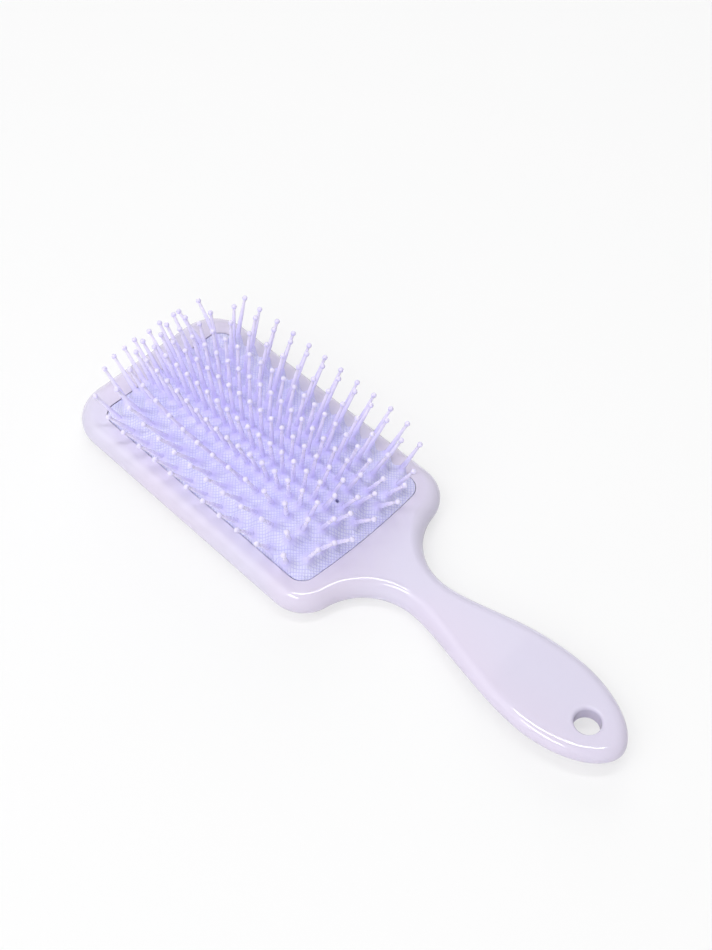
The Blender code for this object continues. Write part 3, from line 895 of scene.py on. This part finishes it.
@dataclass
class Housing:
    """Frame with its handle, and the cover let into its back. Sizes are in metres."""

    plan: BrushPlan
    overrun: float = 0.004
    lip_radius: float = 0.00015
    lip_clear_share: float = 0.25
    lip_height: float = 0.00019
    lip_undercut: float = 0.0006
    lip_steps: int = 4
    hole_spare: float = 0.00006
    hole_turn: float = 0.02
    hole_steps: int = 72
    flare_steps: int = 8
    sharp_degrees: float = 35.0
    bevel_degrees: float = 40.0
    bevel_width: float = 0.00015
    bevel_segments: int = 2

    @property
    def sizes(self) -> BrushSizes:
        """Sizes that the looks share with the solids."""
        return self.plan.sizes

    def blank(self, name: str) -> bpy.types.Object:
        """Whole outer form of head and handle, before anything is cut out of it.

        Args:
            name: Name of the object.

        Returns:
            The object, in the scene.
        """
        outline = self.plan.body_half()
        before, after = [(-x, y) for x, y in (outline[1], outline[-2])]
        round_ends = [before, *outline, after]
        ribs = []
        for index, point in enumerate(outline):
            run = (Vector(round_ends[index + 2]) - Vector(round_ends[index])).normalized()
            ribs.append(self.plan.rib(point, Vector((run.y, -run.x))))
        size = len(ribs[0])
        places = [place for rib in ribs for place in rib]
        places += [(-x, y, z) for x, y, z in places]
        half = size * len(ribs)
        faces = []
        for row in range(len(ribs) - 1):
            for column in range(size - 1):
                corner = row * size + column
                quad = (corner, corner + 1, corner + size + 1, corner + size)
                faces += [quad, tuple(half + i for i in reversed(quad))]
        return mesh_object(name, places, faces)

    def block(self, name: str, out: float, low: float, high: float) -> bpy.types.Object:
        """Upright block on the opening's outline.

        Args:
            name: Name of the object.
            out: How far the outline is moved outwards.
            low: Height of the block's underside.
            high: Height of its top.

        Returns:
            The object, in the scene.
        """
        outline = self.plan.opening(out)
        return stacked(name, [[(x, y, z) for x, y in outline] for z in (low, high)])

    def opening_cutter(self) -> bpy.types.Object:
        """Cutter for the opening, which leaves the frame a rounded lip with an undercut below.

        Returns:
            The object, in the scene.
        """
        top = self.sizes.head_thickness
        radius = self.lip_radius
        levels = [(radius, top + self.overrun), (radius, top + radius * self.lip_clear_share)]
        for step in range(self.lip_steps + 1):
            angle = QUARTER_TURN * step / self.lip_steps
            levels.append((radius * (1 - math.sin(angle)), top - radius * (1 - math.cos(angle))))
        under = top - self.lip_height
        levels += [
            (0.0, under),
            (self.lip_undercut, under - self.lip_undercut),
            (self.lip_undercut, -self.overrun),
        ]
        rings = [[(x, y, z) for x, y in self.plan.opening(out)] for out, z in levels]
        return stacked("opening_cutter", rings)

    def hole_cutter(self) -> bpy.types.Object:
        """Turned cutter for the hanging hole, flared at both faces.

        It starts a little outside the faces and is turned a little, so that none of its edges or
        points falls on one of the body's, which would leave the cut open.

        Returns:
            The object, in the scene.
        """
        s = self.sizes
        hole_y = s.tip_y + s.hole_from_tip + s.cushion_y
        top = self.plan.top(hole_y) + self.hole_spare
        low = self.plan.underside(hole_y) - self.hole_spare
        wide = s.hole_diameter / 2 + s.hole_rim
        sides = []
        for step in range(self.flare_steps + 1):
            angle = QUARTER_TURN * step / self.flare_steps
            depth = s.hole_rim * (1 - math.cos(angle))
            sides.append((wide - s.hole_rim * math.sin(angle), depth))
        levels = [(wide, top + self.overrun)] + [(x, top - depth) for x, depth in sides]
        levels += [(x, low + depth) for x, depth in reversed(sides)] + [(wide, low - self.overrun)]
        rings = []
        for radius, z in levels:
            ring = circle((0.0, hole_y), radius, self.hole_steps, self.hole_turn)
            rings.append([(x, y, z) for x, y in ring])
        return stacked("hole_cutter", rings)

    @staticmethod
    def cut(made: bpy.types.Object, steps: list[tuple[bpy.types.Object, Cut]]) -> None:
        """Apply booleans to an object and remove their cutters.

        Args:
            made: The object that is cut.
            steps: Each cutter with what it does.
        """
        for cutter, kind in steps:
            modifier = made.modifiers.new(cutter.name, "BOOLEAN")
            modifier.operation = kind.value
            modifier.solver = "EXACT"
            modifier.object = cutter
        settle(made)
        for cutter, _ in steps:
            bpy.data.objects.remove(cutter)

    def soften(self, made: bpy.types.Object) -> None:
        """Round an object's sharp edges a little and even out its shading.

        Args:
            made: The object.
        """
        smooth(made, self.sharp_degrees)
        bevel = made.modifiers.new("edges", "BEVEL")
        bevel.limit_method = "ANGLE"
        bevel.angle_limit = math.radians(self.bevel_degrees)
        bevel.width = self.bevel_width
        bevel.segments = self.bevel_segments
        weigh = made.modifiers.new("normals", "WEIGHTED_NORMAL")
        weigh.keep_sharp = True
        settle(made)

    def make_frame(self, material: bpy.types.Material) -> None:
        """Build the frame round the cushion and the handle, one moulding.

        Args:
            material: Its finish.
        """
        s = self.sizes
        made = self.blank("frame_and_handle")
        cavity_top = s.head_thickness - s.front_wall
        seat_out = s.cover_out + s.clearance
        seat_top = s.cover_rim_height + s.clearance
        steps = [
            (self.block("cavity_cutter", s.cavity_out, -self.overrun, cavity_top), Cut.AWAY),
            (self.block("seat_cutter", seat_out, -self.overrun, seat_top), Cut.AWAY),
            (self.opening_cutter(), Cut.AWAY),
            (self.hole_cutter(), Cut.AWAY),
        ]
        self.cut(made, steps)
        self.soften(made)
        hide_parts("body")
        finish_piece(made, material, "brush")

    def make_cover(self, material: bpy.types.Material) -> None:
        """Build the back cover, with the skirt that carries the clamping frame.

        Args:
            material: Its finish.
        """
        s = self.sizes
        made = self.blank("back_panel")
        skirt_out = s.cavity_out - s.clearance
        pocket_out = skirt_out - s.cover_skirt_wall
        pocket_top = s.skirt_top + self.overrun
        steps = [
            (self.block("plug", s.cover_out, -self.overrun, s.cover_rim_height), Cut.SHARED),
            (self.block("skirt", skirt_out, s.cover_wall, s.skirt_top), Cut.JOINED),
            (self.block("pocket", pocket_out, s.cover_wall, pocket_top), Cut.AWAY),
        ]
        self.cut(made, steps)
        self.soften(made)
        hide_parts("back_cover")
        finish_piece(made, material, "brush")


# Cushion and pins


@dataclass(frozen=True)
class PinSizes:
    """Sizes of the cushion and pins, in metres, and the shares that set how the pins fan out.

    The gaps are the shares of the span that each column leaves free at its two ends, the middle
    column first. The head turns are the further leans of the first pin of each column.
    """

    crown: float = 0.0069
    rim_depth: float = 0.0015
    side_flank: float = 0.0039
    head_flank: float = 0.0080
    handle_flank: float = 0.0110
    flank_sharpness: float = 2.2
    vent_diameter: float = 0.0014
    press_foot: float = 0.0091
    press_travel: float = 0.003
    length: float = 0.0193
    root_width: float = 0.0026
    neck_width: float = 0.00112
    bead_diameter: float = 0.0021
    side_margin: float = 0.0027
    end_margin: float = 0.0055
    per_column: tuple[int, ...] = (20, 20, 20, 14, 13, 12)
    head_gaps: tuple[float, ...] = (0.016, -0.010, 0.010, 0.024, 0.036, 0.066)
    handle_gaps: tuple[float, ...] = (0.017, 0.051, 0.008, 0.016, 0.016, 0.051)
    side_fan: float = 0.71
    side_fan_limit: float = 0.54
    end_fan: float = 0.26
    end_kick: float = 0.44
    outer_fan_loss: float = 0.32
    outer_kick_loss: float = 0.60
    fan_fall: float = 1.35
    fan_fall_gain: float = 6.3
    kick_sharpness: float = 3.6
    head_turns: tuple[Point, ...] = (
        (0.0, 0.07), (0.04, 0.15), (0.08, 0.25), (0.08, 0.16), (0.08, 0.04), (0.10, 0.12),
        (0.16, 0.05), (0.15, 0.12), (-0.06, 0.27), (0.0, 0.34), (0.17, -0.03),
    )


@dataclass(frozen=True)
class Pin:
    """Where one pin stands on the cushion, measured from its middle, and which way it points."""

    foot: Vector
    normal: Vector
    axis: Vector


class PinField:
    """Layout of the pins on the domed cushion, as the solids have it but for the head turns."""

    def __init__(self, sizes: BrushSizes, pins: PinSizes) -> None:
        """Place every pin.

        Args:
            sizes: Sizes of the brush.
            pins: Sizes of cushion and pins.
        """
        self.sizes = sizes
        self.pins = pins
        self.side_columns = len(pins.per_column) - 1
        self.pitch = (sizes.half_x - pins.side_margin) / self.side_columns
        self.span = sizes.opening_length - 2 * pins.end_margin
        columns = range(-self.side_columns, self.side_columns + 1)
        self.columns = [self.column(column) for column in columns]

    def rise(self, x: np.ndarray, y: np.ndarray) -> np.ndarray:
        """Share of its full height that the dome has over each place.

        Args:
            x: The places across.
            y: The places along.

        Returns:
            The shares, from 0 to 1.
        """
        s, p = self.sizes, self.pins
        side = np.maximum(0, s.half_x - s.clearance - np.abs(x))
        end = np.maximum(0, s.half_y - s.clearance - np.abs(y))
        flank = np.where(y > 0, p.head_flank, p.handle_flank)
        across = 1 - np.exp(-side / p.side_flank)
        return across * (1 - np.exp(-((end / flank) ** p.flank_sharpness)))

    def height(self, x: np.ndarray, y: np.ndarray) -> np.ndarray:
        """Height of the solid cushion's outer face over each place."""
        p = self.pins
        return self.sizes.head_thickness - p.rim_depth + (p.crown + p.rim_depth) * self.rise(x, y)

    def normal(self, x: float, y: float) -> Vector:
        """Direction square to the cushion over a place.

        Args:
            x: The place across.
            y: The place along.

        Returns:
            The direction, of length 1.
        """
        step = self.sizes.clearance
        slope_x = (self.height(x + step, y) - self.height(x - step, y)) / (2 * step)
        slope_y = (self.height(x, y + step) - self.height(x, y - step)) / (2 * step)
        return Vector((-slope_x, -slope_y, 1)).normalized()

    def direction(self, x: float, y: float, turn: Point = (0.0, 0.0)) -> Vector:
        """Direction of a pin, which leans further the further out it stands.

        Args:
            x: Where it stands, across.
            y: Where it stands, along.
            turn: Further lean of its own, across and along.

        Returns:
            The direction, of length 1.
        """
        p = self.pins
        across = abs(x) / (self.side_columns * self.pitch)
        down = min(1.0, abs(y) / (self.span / 2))
        fall = 1 - down ** (p.fan_fall + p.fan_fall_gain * across ** 4)
        side = min(p.side_fan * across, p.side_fan_limit) * fall
        steady = p.end_fan * (1 - p.outer_fan_loss * across ** 2)
        kick = p.end_kick * (1 - p.outer_kick_loss * across ** 2)
        end = steady * down + kick * down ** p.kick_sharpness
        lean_x = math.copysign(side, x) + turn[0]
        lean_y = math.copysign(end, y) + turn[1]
        return Vector((lean_x, lean_y, math.sqrt(1 - lean_x ** 2 - lean_y ** 2)))

    def column(self, column: int) -> list[Pin]:
        """Pins of one lengthwise column, from the head end to the handle end.

        Args:
            column: Number of the column, 0 in the middle.

        Returns:
            The column's pins.
        """
        p = self.pins
        rank = abs(column)
        count = p.per_column[rank]
        first = self.span * (1 / 2 - p.head_gaps[rank])
        last = self.span * (p.handle_gaps[rank] - 1 / 2)
        x = column * self.pitch
        made = []
        for number in range(count):
            y = first + (last - first) * number / (count - 1)
            foot = Vector((x, y, float(self.height(x, y))))
            turn = (0.0, 0.0) if number else p.head_turns[column + self.side_columns]
            made.append(Pin(foot, self.normal(x, y), self.direction(x, y, turn)))
        return made

    def vent(self) -> Point:
        """Middle of the vent, between the second and third pins from the handle.

        Returns:
            The place, seen from above.
        """
        third, second = self.columns[self.side_columns][-3:-1]
        middle = (third.foot + second.foot) / 2
        return (middle.x, middle.y)

    def __iter__(self) -> Iterator[Pin]:
        """All the pins in turn."""
        return (pin for pins in self.columns for pin in pins)


@dataclass
class Cushion:
    """Domed rubber cushion that puckers up round the root of each pin.

    Sizes are in metres. The shares of a step keep loose places off the outline and off the rings
    round the pins. Each ripple wave has its shares across and along, and its phase.
    """

    plan: BrushPlan
    field: PinField
    mesh_step: float = 0.00035
    under_step: float = 0.0050
    outline_step: float = 0.0009
    outline_chords: tuple[int, int] = (12, 60)
    outline_clear_share: float = 0.6
    ring_clear_share: float = 0.7
    row_share: float = 0.87
    ring_steps: int = 14
    vent_steps: int = 20
    gap: float = 0.00032
    edge_softness: float = 0.0007
    edge_hold: float = 0.0012
    skirt: float = 0.0021
    cone_height: float = 0.0041
    cone_reach: float = 0.0023
    cone_power: float = 1.5
    swell_height: float = 0.0008
    swell_reach: float = 0.0029
    root_reach: float = 0.0021
    root_power: float = 2.5
    root_rings: tuple[float, ...] = (0.00095, 0.00125, 0.0017)
    forward: float = 0.00016
    ripple_height: float = 0.00010
    ripple_size: float = 0.004
    ripple_waves: tuple[Place, Place] = ((0.83, 0.31, 1.1), (-0.37, 0.42, 0.4))

    def outline(self, inwards: float, step: float) -> list[Point]:
        """Closed outline of the cushion with points at even steps, measured from its middle.

        Args:
            inwards: How far it stands in from the opening's edge.
            step: Longest step between points.

        Returns:
            The outline's points.
        """
        middle_y = self.plan.sizes.cushion_y
        opening = self.plan.opening(-inwards, *self.outline_chords)
        corners = [(x, y - middle_y) for x, y in opening]
        points = []
        for start, end in zip(corners, corners[1:] + corners[:1]):
            parts = max(1, math.ceil(math.dist(start, end) / step))
            for part in range(parts):
                share = part / parts
                points.append(tuple(a + (b - a) * share for a, b in zip(start, end)))
        return points

    def lattice(self, step: float, inwards: float) -> list[Point]:
        """Loose places over the cushion in a staggered lattice, with rings round the pins.

        Args:
            step: Distance between them. A coarse lattice has no rings.
            inwards: How far they stay in from the opening's edge.

        Returns:
            The places that lie inside the outline and outside the vent.
        """
        sizes = self.plan.sizes
        half_x, half_y = sizes.half_x - inwards, sizes.half_y - inwards
        corner = sizes.opening_corner - inwards
        vent_x, vent_y = self.field.vent()
        clear = self.field.pins.vent_diameter / 2 + step / 2
        fine = step < self.root_rings[0]
        feet = np.array([pin.foot[:2] for pin in self.field]) if fine else np.empty((0, 2))
        places = [
            place for foot in feet for ring in self.root_rings
            for place in circle(tuple(foot), ring, self.ring_steps)
        ]
        taken = self.root_rings[-1] + step * self.ring_clear_share
        rows = int(2 * half_y / (step * self.row_share))
        for row in range(rows + 1):
            y = -half_y + 2 * half_y * row / rows
            start = -half_x + (row % 2) * step / 2
            for column in range(int((half_x - start) / step) + 1):
                x = start + column * step
                over_x, over_y = abs(x) - half_x + corner, abs(y) - half_y + corner
                inside = over_x <= 0 or over_y <= 0 or math.hypot(over_x, over_y) <= corner
                free = not fine or np.min(np.hypot(*(feet - (x, y)).T)) > taken
                if inside and free and math.hypot(x - vent_x, y - vent_y) > clear:
                    places.append((x, y))
        return places

    def sheet(self, step: float, inwards: float) -> tuple[np.ndarray, list[Face], int, int]:
        """Triangles that fill the cushion's outline round the vent.

        Args:
            step: Distance between the points.
            inwards: How far the outline stands in from the opening's edge.

        Returns:
            The places, the triangles, and how many places the rim and the vent have. The rim's
            places come first, then the vent's.
        """
        rim = self.outline(inwards, max(step, self.outline_step))
        vent = circle(self.field.vent(), self.field.pins.vent_diameter / 2, self.vent_steps)
        loose = self.lattice(step, inwards + step * self.outline_clear_share)
        points = rim + vent + loose
        loops = [range(len(rim)), range(len(rim), len(rim) + len(vent))]
        hole = set(loops[1])
        faces = [face for face in filled(points, loops) if not hole.issuperset(face)]
        return np.array(points), faces, len(rim), len(vent)

    def ripple(self, x: np.ndarray, y: np.ndarray) -> np.ndarray:
        """Slight unevenness of the soft rubber, from two crossing waves.

        Args:
            x: The places across.
            y: The places along.

        Returns:
            The height that it adds at each place.
        """
        turn = FULL_TURN / self.ripple_size
        waves = [np.sin(turn * (a * x + b * y) + phase) for a, b, phase in self.ripple_waves]
        return self.ripple_height * (waves[0] * waves[1])

    def shape(self, flat: np.ndarray) -> tuple[np.ndarray, np.ndarray]:
        """Lift flat places onto the puckered dome.

        Args:
            flat: The places, seen from above.

        Returns:
            The places in space, and how near each is to a pin's root, from 0 to 1.
        """
        sizes, pins = self.plan.sizes, self.field.pins
        x, y = flat[:, 0], flat[:, 1]
        inside = np.minimum(sizes.half_x - np.abs(x), sizes.half_y - np.abs(y)) - self.gap
        tucked = 1 - np.exp(-((np.maximum(inside, 0) / self.edge_softness) ** 2))
        crown = pins.crown * self.field.rise(x, y) * tucked
        z = sizes.head_thickness + crown + self.ripple(x, y)
        places = np.stack([x, y, z], axis=1)
        free = np.clip(inside / self.edge_hold, 0, 1)[:, None]
        moved = places.copy()
        root = np.zeros(len(flat))
        for pin in self.field:
            near = np.abs(y - pin.foot.y) < 3 * self.swell_reach
            apart = places[near] - np.array(pin.foot)
            normal, axis = np.array(pin.normal), np.array(pin.axis)
            apart -= np.outer(apart @ normal, normal)
            gap = np.maximum(np.linalg.norm(apart, axis=1), self.root_rings[0])
            cone = self.cone_height * np.exp(-((gap / self.cone_reach) ** self.cone_power))
            swell = self.swell_height * np.exp(-((gap / self.swell_reach) ** 2))
            moved[near] += free[near] * (np.outer(cone, axis) + np.outer(swell, normal))
            taut = np.exp(-((gap / self.root_reach) ** self.root_power))
            root[near] = np.maximum(root[near], taut)
        return moved, root

    def make(self, material: bpy.types.Material) -> bpy.types.Object:
        """Build the cushion: puckered face, skirt, vent and a plain underside.

        Args:
            material: Its finish.

        Returns:
            The piece.
        """
        sizes = self.plan.sizes
        wall = sizes.cushion_wall
        flat, faces, rim, vent = self.sheet(self.mesh_step, self.gap)
        upper, root = self.shape(flat)
        foot = sizes.head_thickness - self.skirt
        skirt = np.array([(x, y, foot) for x, y in flat[:rim]])
        low_flat, low_faces, low_rim, _ = self.sheet(self.under_step, sizes.clearance + wall)
        low_z = self.field.height(low_flat[:, 0], low_flat[:, 1]) - wall
        low_z[:low_rim] = foot
        first_skirt = len(upper)
        first_low = first_skirt + rim
        places = np.concatenate([upper, skirt, np.column_stack([low_flat, low_z])])
        places[:, 1] += sizes.cushion_y - self.forward
        faces += [tuple(first_low + i for i in reversed(face)) for face in low_faces]
        faces += band(0, first_skirt, rim) + band(rim, first_low + low_rim, vent)
        faces += self.floor(low_flat[:low_rim], flat[:rim], first_low, first_skirt)
        marks = np.zeros(len(places), np.float32)
        marks[: len(root)] = root
        points = [tuple(place) for place in places]
        made = marked_object("cushion_pad", points, faces, {"pin_root": marks})
        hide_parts("cushion")
        finish_piece(made, material, "brush")
        return made

    @staticmethod
    def floor(
        inner: np.ndarray, outer: np.ndarray, first_inner: int, first_outer: int
    ) -> list[Face]:
        """Triangles of the flat ring between the skirt's foot and the underside's edge.

        Args:
            inner: Places of the underside's edge.
            outer: Places of the skirt's foot.
            first_inner: Number of the first inner place in the mesh.
            first_outer: Number of the first outer place in the mesh.

        Returns:
            The triangles.
        """
        split = len(outer)
        points = np.concatenate([outer, inner])
        numbers = [first_outer + i for i in range(split)]
        numbers += [first_inner + i for i in range(len(inner))]
        triangles = filled(points, [range(split), range(split, len(points))])
        ring = [face for face in triangles if min(face) < split]
        return [tuple(numbers[corner] for corner in reversed(face)) for face in ring]


@dataclass(frozen=True)
class Ring:
    """One ring of a pin: its place up the pin, its radius, and its marks as bead and as rise."""

    distance: float
    radius: float
    bead: float
    rise: float


@dataclass
class PinRows:
    """Rows of ball-tipped pins, one row for each lengthwise column. Sizes are in metres."""

    field: PinField
    sides: int = 20
    buried: float = 0.0009
    buried_flare: float = 1.04
    stem_steps: tuple[float, ...] = (0.0, 0.05, 0.14, 0.28, 0.45, 0.65, 0.85, 1.0)
    stem_power: float = 0.75
    bead_start: float = math.radians(30)
    bead_steps: int = 9

    def profile(self) -> list[Ring]:
        """Rings of one pin.

        Returns:
            The rings, from the buried foot to the last one before the tip.
        """
        p = self.field.pins
        bead = p.bead_diameter / 2
        neck_at = p.length - bead * math.cos(self.bead_start)
        root, neck = p.root_width / 2, p.neck_width / 2
        rings = [Ring(-self.buried, root * self.buried_flare, 0.0, 0.0)]
        for share in self.stem_steps:
            radius = root + (neck - root) * share ** self.stem_power
            rings.append(Ring(neck_at * share, radius, 0.0, share))
        for step in range(1, self.bead_steps):
            angle = self.bead_start + (math.pi - self.bead_start) * step / self.bead_steps
            height = p.length - bead * math.cos(angle)
            rings.append(Ring(height, bead * math.sin(angle), 1.0, 1.0))
        return rings

    def pin_places(self, pin: Pin, rings: list[Ring]) -> list[Vector]:
        """Places of one pin's mesh: its rings, then the middle of its foot and its tip.

        Args:
            pin: The pin.
            rings: Its rings.

        Returns:
            The places.
        """
        sizes, pins = self.field.sizes, self.field.pins
        foot = pin.foot + Vector((0, sizes.cushion_y, 0))
        along = (Vector((0, 1, 0)) - pin.axis * pin.axis.y).normalized()
        across = along.cross(pin.axis)
        places = []
        for ring in rings:
            middle = foot + pin.axis * ring.distance
            for side in range(self.sides):
                turn = FULL_TURN * side / self.sides
                out = across * math.cos(turn) + along * math.sin(turn)
                places.append(middle + out * ring.radius)
        tip = pins.length + pins.bead_diameter / 2
        return places + [foot - pin.axis * self.buried, foot + pin.axis * tip]

    def pin_faces(self, start: int, bands: int) -> list[Face]:
        """Faces of one pin's mesh.

        Args:
            start: Number of the pin's first place.
            bands: How many bands of faces lie between its rings.

        Returns:
            The faces.
        """
        last = start + bands * self.sides
        foot = last + self.sides
        faces = []
        for side in range(self.sides):
            after = (side + 1) % self.sides
            faces.append((start + side, start + after, foot))
            faces.append((last + after, last + side, foot + 1))
            for row in range(bands):
                low = start + row * self.sides
                high = low + self.sides
                faces.append((low + after, low + side, high + side, high + after))
        return faces

    def make_row(self, number: int, pins: list[Pin], material: bpy.types.Material) -> None:
        """Build one row of pins.

        Args:
            number: Number of the row.
            pins: Its pins.
            material: Their finish.
        """
        rings = self.profile()
        places, faces = [], []
        for pin in pins:
            faces += self.pin_faces(len(places), len(rings) - 1)
            places += self.pin_places(pin, rings)
        beads = [ring.bead for ring in rings for _ in range(self.sides)] + [0.0, 1.0]
        rises = [ring.rise for ring in rings for _ in range(self.sides)] + [0.0, 1.0]
        marks = {"bead": beads * len(pins), "rise": rises * len(pins)}
        made = marked_object(f"pins_{number:02d}", places, faces, marks)
        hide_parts(f"pin_row_{number:02d}")
        finish_piece(made, material, f"row_{number:02d}")

    def make(self, material: bpy.types.Material) -> None:
        """Build every row in one finish."""
        for number, pins in enumerate(self.field.columns, start=1):
            self.make_row(number, pins, material)


# Studio


# Level directions of the two strips, each a lamp with a second one for gloss alone
MAIN_RUN = (-0.77, 0.64)
SECOND_RUN = (-0.18, 0.98)


@dataclass(frozen=True)
class Lamp:
    """A soft panel lamp that points at the brush, its width lying along a level direction."""

    name: str
    place: Place
    width: float
    height: float
    power: float
    along: Point = (0.0, 1.0)
    in_gloss: bool = True
    in_shade: bool = True


@dataclass
class Studio:
    """Pale floor, soft lamps and a camera where the photograph's was."""

    image_height: int = 950
    focal_pixels: float = 1573.4
    sensor: float = 36.0
    clip_start: float = 0.01
    eye: Place = (-0.2330, -0.2311, 0.4903)
    target: Place = (0.0177, 0.0200, 0.0130)
    lamp_target: Place = (0.0, 0.0, 0.01)
    sky: float = 0.32
    backdrop: float = 0.96
    floor_size: float = 6.0
    paper: Colour = (0.90, 0.90, 0.90, 1.0)
    glow: float = 0.99
    glow_share: float = 0.62
    lamps: tuple[Lamp, ...] = (
        Lamp("left_panel", (-1.20, 0.75, 1.60), 1.6, 1.6, 9.0, (0.5, 0.8)),
        Lamp("top_fill", (0.25, 0.25, 2.20), 2.4, 2.4, 1.5, in_gloss=False),
        Lamp("side_fill", (-1.75, -0.45, 0.80), 1.6, 1.6, 9.5, (0.3, -0.95), in_gloss=False),
        Lamp("front_fill", (-0.90, -1.60, 0.90), 1.4, 1.4, 4.3, (0.87, -0.49), in_gloss=False),
        Lamp("back_fill", (1.30, 1.20, 1.00), 1.4, 1.4, 12.0, (0.7, -0.7), in_gloss=False),
        Lamp("main_strip", (0.0, -0.02, 1.10), 0.70, 0.08, 3.1, MAIN_RUN),
        Lamp("second_strip", (-0.71, -0.05, 1.08), 0.47, 0.06, 2.3, SECOND_RUN),
        Lamp("main_gloss", (0.0, -0.02, 1.09), 0.70, 0.05, 0.8, MAIN_RUN, in_shade=False),
        Lamp("second_gloss", (-0.78, -0.10, 1.05), 0.47, 0.05, 1.8, SECOND_RUN, in_shade=False),
        Lamp("back_card", (0.55, 0.46, 1.10), 0.30, 0.12, 0.07),
    )

    def make_camera(self) -> None:
        """Place the camera at the photograph's angle."""
        lens = bpy.data.cameras.new("photo_camera")
        lens.sensor_fit = "VERTICAL"
        lens.sensor_height = self.sensor
        lens.sensor_width = self.sensor
        lens.lens = self.focal_pixels / self.image_height * self.sensor
        lens.clip_start = self.clip_start
        camera = link(bpy.data.objects.new("photo_camera", lens))
        camera.location = self.eye
        run = Vector(self.target) - camera.location
        camera.rotation_euler = run.to_track_quat("-Z", "Y").to_euler()
        bpy.context.scene.camera = camera

    def make_lamps(self) -> None:
        """Hang the soft lamps."""
        for lamp in self.lamps:
            light = bpy.data.lights.new(lamp.name, "AREA")
            light.shape = "RECTANGLE"
            light.size = lamp.width
            light.size_y = lamp.height
            light.energy = lamp.power
            made = link(bpy.data.objects.new(lamp.name, light))
            back = (Vector(lamp.place) - Vector(self.lamp_target)).normalized()
            side = Vector((*lamp.along, 0.0))
            side = (side - back * side.dot(back)).normalized()
            turned = Matrix((side, back.cross(side), back)).transposed().to_4x4()
            made.matrix_world = Matrix.Translation(lamp.place) @ turned
            made.visible_glossy = lamp.in_gloss
            made.visible_diffuse = lamp.in_shade

    def make_world(self) -> None:
        """Even white surroundings, brighter where the camera or a gloss sees them."""
        world = bpy.data.worlds.new("white_room")
        world.use_nodes = True
        bpy.context.scene.world = world
        sheet = NodeSheet(world.node_tree)
        path = sheet.add("ShaderNodeLightPath").outputs
        looked_at = sheet.maths("MAXIMUM", path["Is Camera Ray"], path["Is Glossy Ray"])
        light, white = (
            sheet.add("ShaderNodeBackground", {0: (1, 1, 1, 1), 1: strength}).outputs[0]
            for strength in (self.sky, self.backdrop)
        )
        both = sheet.add("ShaderNodeMixShader", {0: looked_at, 1: light, 2: white})
        sheet.add("ShaderNodeOutputWorld", {0: both.outputs[0]})

    def make_floor(self) -> None:
        """Pale floor that keeps the brush's soft shadow."""
        half = self.floor_size / 2
        corners = [(-half, -half, 0), (half, -half, 0), (half, half, 0), (-half, half, 0)]
        floor = mesh_object("floor", corners, [(0, 1, 2, 3)])
        if floor.data.polygons[0].normal.z < 0:
            floor.data.flip_normals()
        material = bpy.data.materials.new("pale floor")
        material.use_nodes = True
        sheet = NodeSheet(material.node_tree)
        path = sheet.add("ShaderNodeLightPath").outputs
        paper = sheet.add("ShaderNodeBsdfDiffuse", {0: self.paper}).outputs[0]
        glow = sheet.add("ShaderNodeEmission", {0: (1, 1, 1, 1), 1: self.glow}).outputs[0]
        share = sheet.maths("MULTIPLY", path["Is Camera Ray"], self.glow_share)
        both = sheet.add("ShaderNodeMixShader", {0: share, 1: paper, 2: glow})
        sheet.add("ShaderNodeOutputMaterial", {0: both.outputs[0]})
        floor.data.materials.append(material)

    def make(self) -> None:
        """Set up camera, floor, lamps and surroundings."""
        self.make_camera()
        self.make_floor()
        self.make_lamps()
        self.make_world()
        bpy.context.scene.view_settings.view_transform = "Standard"


def main() -> None:
    """Build the pieces in order and set them in the studio."""
    logging.basicConfig(level=logging.INFO, format="%(name)s: %(message)s")
    groups = SharedGroups()
    plan = BrushPlan(BrushSizes())
    pin_field = PinField(plan.sizes, PinSizes())
    body_finish = PlasticFinish(
        "glossy lilac plastic", seen(218, 210, 230), seen(216, 211, 231)
    )
    cover_finish = PlasticFinish(
        "lilac back plastic", seen(222, 216, 235), seen(224, 215, 234),
        smoothest=0.16, roughest=0.22,
    )
    clamp_finish = PlasticFinish(
        "plain white plastic", seen(232, 230, 236), seen(228, 226, 233),
        smoothest=0.35, roughest=0.5,
    )
    housing = Housing(plan)
    housing.make_frame(body_finish.make(groups))
    housing.make_cover(cover_finish.make(groups))
    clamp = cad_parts["lip_frame"]
    clamp.data.materials.clear()
    clamp.data.materials.append(clamp_finish.make(groups))
    LOG.info("%s: the solid, in a finish of its own", clamp.name)
    pad = Cushion(plan, pin_field).make(RubberFinish().make(groups))
    crown = plan.sizes.head_thickness + pin_field.pins.crown
    plan.sizes.cushion_y
    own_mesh(pad)
    PinRows(pin_field).make(PinFinish().make(groups))
    Studio().make()


if __name__ == "__main__":
    main()
